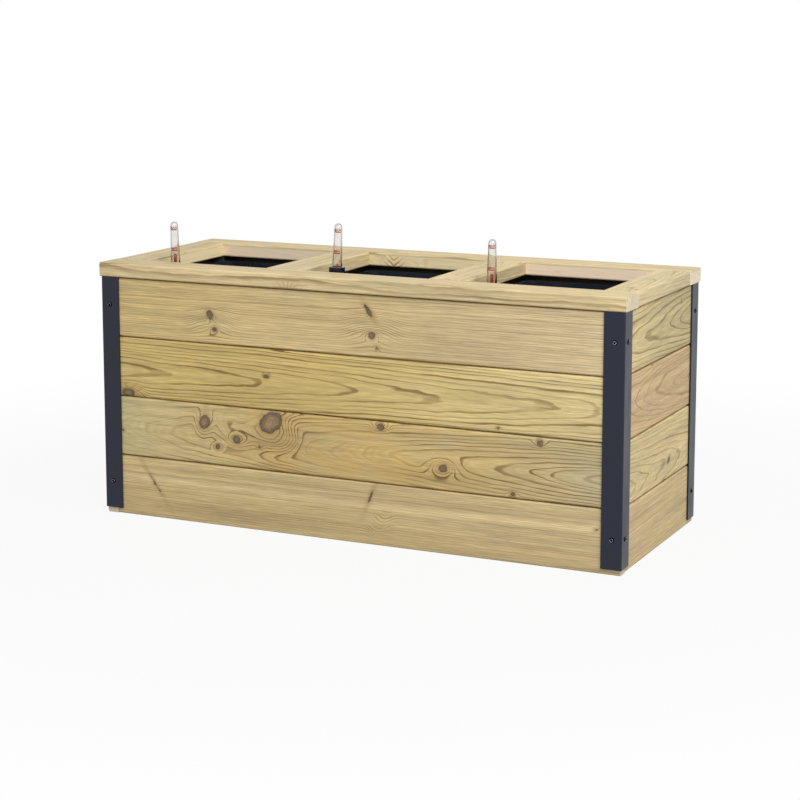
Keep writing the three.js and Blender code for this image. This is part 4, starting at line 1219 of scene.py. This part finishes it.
def build_inserts():
    places = {side: gauge_place(side) for side in SIDES}
    highest = max(lift for foot, axis, lift in places.values())
    foot, axis, lift = places["left"]
    tube_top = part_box("gauge_sight_tube_left")[1].z
    height = ((tube_top - foot.z) / axis.z - lift) / MM - SIGHT_HEIGHT
    tub = liner_tub()
    shaft, tube, foam = gauge_shaft(height), sight_tube(height), gauge_float()
    rod = gauge_rod(height, highest / MM)
    marks = {}
    for word in MARKS:
        marks[word] = level_mark(word, height)
        modify(marks[word], "SHRINKWRAP", target=tube, wrap_method="PROJECT", use_project_y=True,
               use_positive_direction=True, use_negative_direction=False, offset=MARK_THICKNESS * MM)
        modify(marks[word], "SOLIDIFY", thickness=MARK_THICKNESS * MM, offset=0)
        choose(marks[word])
        marks[word].rotation_euler = (0, 0, math.radians(MARK_TURN))
        settle(marks[word].name)
    for side, (foot, axis, lift) in places.items():
        insert, gauge, floating = f"insert_{side}", f"gauge_{side}", f"float_{side}"
        centre = (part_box(f"liner_{side}")[0].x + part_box(f"liner_{side}")[1].x) / 2
        liner = tub if side == "middle" else copy_piece(tub, f"tub_{side}", shift=(centre, 0, 0))
        show(liner, insert, "black_plastic", BLACK, f"liner_{side}")
        for part in ("separator", "wicking_basket"):
            materials = frame["nodes"][f"{part}_{side}"].data.materials
            materials.clear()
            materials.append(BLACK)
        piece = lean(shaft, f"shaft_{side}", foot, axis, lift)
        show(piece, gauge, "black_plastic", POLISHED, f"gauge_shaft_{side}")
        piece = lean(tube, f"sight_tube_{side}", foot, axis, lift)
        show(piece, gauge, "clear_plastic", CLEAR, f"gauge_sight_tube_{side}")
        for mark in marks.values():
            show(lean(mark, f"{mark.name}_{side}", foot, axis, lift), gauge, "red_plastic", INK)
        piece = lean(foam, f"foam_float_{side}", foot, axis)
        show(piece, floating, "float_foam", FOAM, f"gauge_float_{side}")
        piece = lean(rod, f"pointer_rod_{side}", foot, axis)
        show(piece, floating, "red_plastic", RED, f"gauge_rod_{side}")
    for master in (shaft, tube, foam, rod, *marks.values()):
        bpy.data.objects.remove(master)


build_inserts()


# Studio, in metres. The floor shows more white away from the planter, between the distances in FLOOR_CLEAR,
# and turns dark under it, over the strip in SHADE_INSIDE, which is in millimetres from the walls.
FLOOR_SIZE = 14
FLOOR_TONE = "#b4b4b4"
FLOOR_ROUGHNESS = 0.9
FLOOR_CLEAR = (0.75, 1.9)
FLOOR_WHITE = (0.92, 1.0)
SHADE_INSIDE = (60, 15)
WHITE = (1, 1, 1, 1)
SOFT_LIGHT = 0.55
KEY_POWER = 108
KEY_SIZE = 2.4
KEY_PLACE = (2.2, -2.0, 2.7)
KEY_AIM = (0, 0, 0.3)


def white_for_views(tree, lit, white, share):
    """Shows plain white to the camera, reflections and clear plastic, by a share, and the lit surface
    otherwise."""
    path = node(tree, "LightPath").outputs
    seen = node(tree, "Math", (path["Is Camera Ray"], path["Is Glossy Ray"]), operation="MAXIMUM")
    seen = node(tree, "Math", (seen, path["Is Transmission Ray"]), operation="MAXIMUM")
    factor = node(tree, "Math", (seen, share), operation="MULTIPLY")
    return node(tree, "MixShader", (factor, lit, white))


def build_studio():
    """Pale floor that keeps the shadow near the planter, a white surround and one soft lamp."""
    deselect()
    bpy.ops.mesh.primitive_plane_add(size=FLOOR_SIZE, location=(0, 0, 0))
    floor = settle("studio_floor")
    material, tree, shader, spot = new_material("pale_floor")
    connect(shader, {"Base Color": linear(FLOOR_TONE), "Roughness": FLOOR_ROUGHNESS})
    away = node(tree, "VectorMath", [spot], operation="LENGTH")
    clear = [distance / MM for distance in FLOOR_CLEAR]
    share = node(tree, "MapRange", (away, *clear, *FLOOR_WHITE), **SOFT_STEP)
    # Under the planter it stays in the shade
    walls = Vector((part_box("right_board_4")[1].x, -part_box("front_board_4")[0].y, 0)) / MM
    sides = node(tree, "VectorMath", [spot], operation="ABSOLUTE")
    past_walls = node(tree, "VectorMath", (sides, walls), operation="SUBTRACT")
    beyond = node(tree, "SeparateXYZ", [past_walls]).outputs
    outside = node(tree, "Math", (beyond["X"], beyond["Y"]), operation="MAXIMUM")
    open_floor = node(tree, "MapRange", (outside, -SHADE_INSIDE[0], -SHADE_INSIDE[1]))
    share = node(tree, "Math", (share, open_floor), operation="MULTIPLY")
    white = node(tree, "Emission", {"Strength": 1.0})
    surface = white_for_views(tree, shader, white, share)
    connect(tree.nodes["Material Output"], {"Surface": surface})
    floor.data.materials.append(material)

    world = bpy.data.worlds.new("studio")
    bpy.context.scene.world = world
    world.use_nodes = True
    tree = world.node_tree
    lit = tree.nodes["Background"]
    connect(lit, {"Color": WHITE, "Strength": SOFT_LIGHT})
    white = node(tree, "Background", {"Color": WHITE, "Strength": 1.0})
    surface = white_for_views(tree, lit, white, 1.0)
    connect(tree.nodes["World Output"], {"Surface": surface})

    lamp = bpy.data.objects.new("soft_box", bpy.data.lights.new("soft_box", "AREA"))
    bpy.context.scene.collection.objects.link(lamp)
    lamp.data.energy = KEY_POWER
    lamp.data.size = KEY_SIZE
    lamp.location = KEY_PLACE
    lamp.rotation_euler = (Vector(KEY_AIM) - lamp.location).to_track_quat("-Z", "Y").to_euler()


build_studio()
bpy.context.scene.view_settings.view_transform = "Standard"
